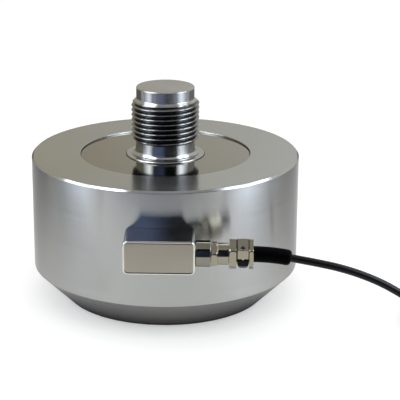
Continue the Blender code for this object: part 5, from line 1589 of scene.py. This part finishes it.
def foot_shade(name, dark, pale):
    """A flat ring whose glow goes from dark to pale with the distance from the axis."""
    angle = np.linspace(0, 2 * np.pi, SHADE_FACETS, endpoint=False)
    circle = np.stack([np.cos(angle), np.sin(angle), 0 * angle], axis=1)
    here = np.arange(SHADE_FACETS)
    after = np.roll(here, -1)
    faces = np.stack([here, after, after + SHADE_FACETS, here + SHADE_FACETS], axis=1)
    mesh = bpy.data.meshes.new(name)
    rims = np.vstack([circle * SHADE_INNER, circle * SHADE_OUTER]) * MM
    mesh.from_pydata(rims.tolist(), [], faces.tolist())
    material, tree, shader = new_material(name, "000000", 1.0, specular=0.0)
    place = add_node(tree, "ShaderNodeTexCoord").outputs["Object"]
    radius = add_node(tree, "ShaderNodeVectorMath", {"operation": "LENGTH"}, in0=place)
    glow = add_node(
        tree, "ShaderNodeMapRange", Value=radius.outputs["Value"], From_Min=SHADE_INNER * MM,
        From_Max=SHADE_OUTER * MM, To_Min=dark, To_Max=pale,
    )
    let_glow(tree, shader, "ffffff", glow.outputs["Result"])
    mesh.materials.append(material)
    mirrored_only(name, mesh).location.z = -SHADE_DEPTH


foot_shade("foot_shade", dark=0.02, pale=0.9)
cards = [thing.name for thing in bpy.data.objects if thing.type == "MESH" and not thing.visible_camera]
print("cards:", cards)

# %% [markdown]
# The world is the tent's pale cloth. Reflections see it warmer and darker on the left, where the wall
# of the room is, than on the right, and to the camera it is white. So it has three backgrounds, for
# plain light, for reflections and for the camera, and Light Path picks between them.

# %% World
def tent_world(left, right, seen_strength, strength):
    """A plain pale world for diffuse light. Reflections see a colour that goes from left to right with
    the x of the direction that is looked in, and the camera sees white."""
    world = bpy.data.worlds.new("tent")
    world.use_nodes = True
    tree = world.node_tree
    place = add_node(tree, "ShaderNodeTexCoord").outputs["Generated"]
    axes = add_node(tree, "ShaderNodeSeparateXYZ", Vector=place)
    ray = add_node(tree, "ShaderNodeLightPath")
    across = add_node(tree, "ShaderNodeMapRange", Value=axes.outputs["X"], From_Min=-0.1, From_Max=0.06)
    cloth = add_node(
        tree, "ShaderNodeMixRGB", Fac=across.outputs["Result"], Color1=linear(left), Color2=linear(right)
    )
    mirrored = add_node(tree, "ShaderNodeBackground", Color=cloth.outputs["Color"], Strength=seen_strength)
    plain = add_node(tree, "ShaderNodeBackground", Color=linear("f4f4f3"), Strength=strength)
    white = add_node(tree, "ShaderNodeBackground", Color=linear("ffffff"), Strength=1.0)
    lit = add_node(
        tree, "ShaderNodeMixShader", in0=ray.outputs["Is Glossy Ray"], in1=plain.outputs["Background"],
        in2=mirrored.outputs["Background"],
    )
    seen = add_node(
        tree, "ShaderNodeMixShader", in0=ray.outputs["Is Camera Ray"], in1=lit.outputs["Shader"],
        in2=white.outputs["Background"],
    )
    tree.links.new(seen.outputs["Shader"], tree.nodes["World Output"].inputs["Surface"])
    bpy.context.scene.world = world


tent_world("d4cebd", "f4f4f1", 1.18, 0.74)
print("world:", bpy.context.scene.world.name)

# %% [markdown]
# The strips' light on the matt pieces comes from two real lamps, and one large soft lamp high above
# lights the paper evenly. The lamps are left out of reflections, where the cards stand for them.

# %% Lamps
LAMP_DISTANCE = 430 * MM
LAMP_SIZE = (0.30, 0.50)
LAMP_HEIGHT = LAMP_SIZE[1] / 2 + 0.015


def soft_lamp(name, centre, size, facing, radiance, colour):
    """A rectangular lamp that faces a point. Its power is radiance * pi * area."""
    data = bpy.data.lights.new(name, "AREA")
    data.shape = "RECTANGLE"
    data.size, data.size_y = size
    data.energy = radiance * np.pi * size[0] * size[1]
    data.color = linear(colour)[:3]
    lamp = new_object(name, data)
    lamp.location = centre
    lamp.rotation_euler = (Vector(facing) - Vector(centre)).to_track_quat("-Z", "Y").to_euler()
    lamp.visible_camera = False
    lamp.visible_glossy = False
    return lamp


for name, azimuth, radiance in (("left_strip", -57, 1.5), ("right_strip", 66, 1.8)):
    x, y = around(azimuth, LAMP_DISTANCE)
    soft_lamp(name, (x, y, LAMP_HEIGHT), LAMP_SIZE, (0, 0, LAMP_HEIGHT), radiance, "f2f6ff")
soft_lamp("roof_lamp", (0, 0.3, 2.6), (4.0, 4.0), (0, 0.3, 0), 0.28, "fffefc")

# %% [markdown]
# Colours are shown as they are written, so the view transform is Standard.

# %% Finish
bpy.context.scene.view_settings.view_transform = "Standard"
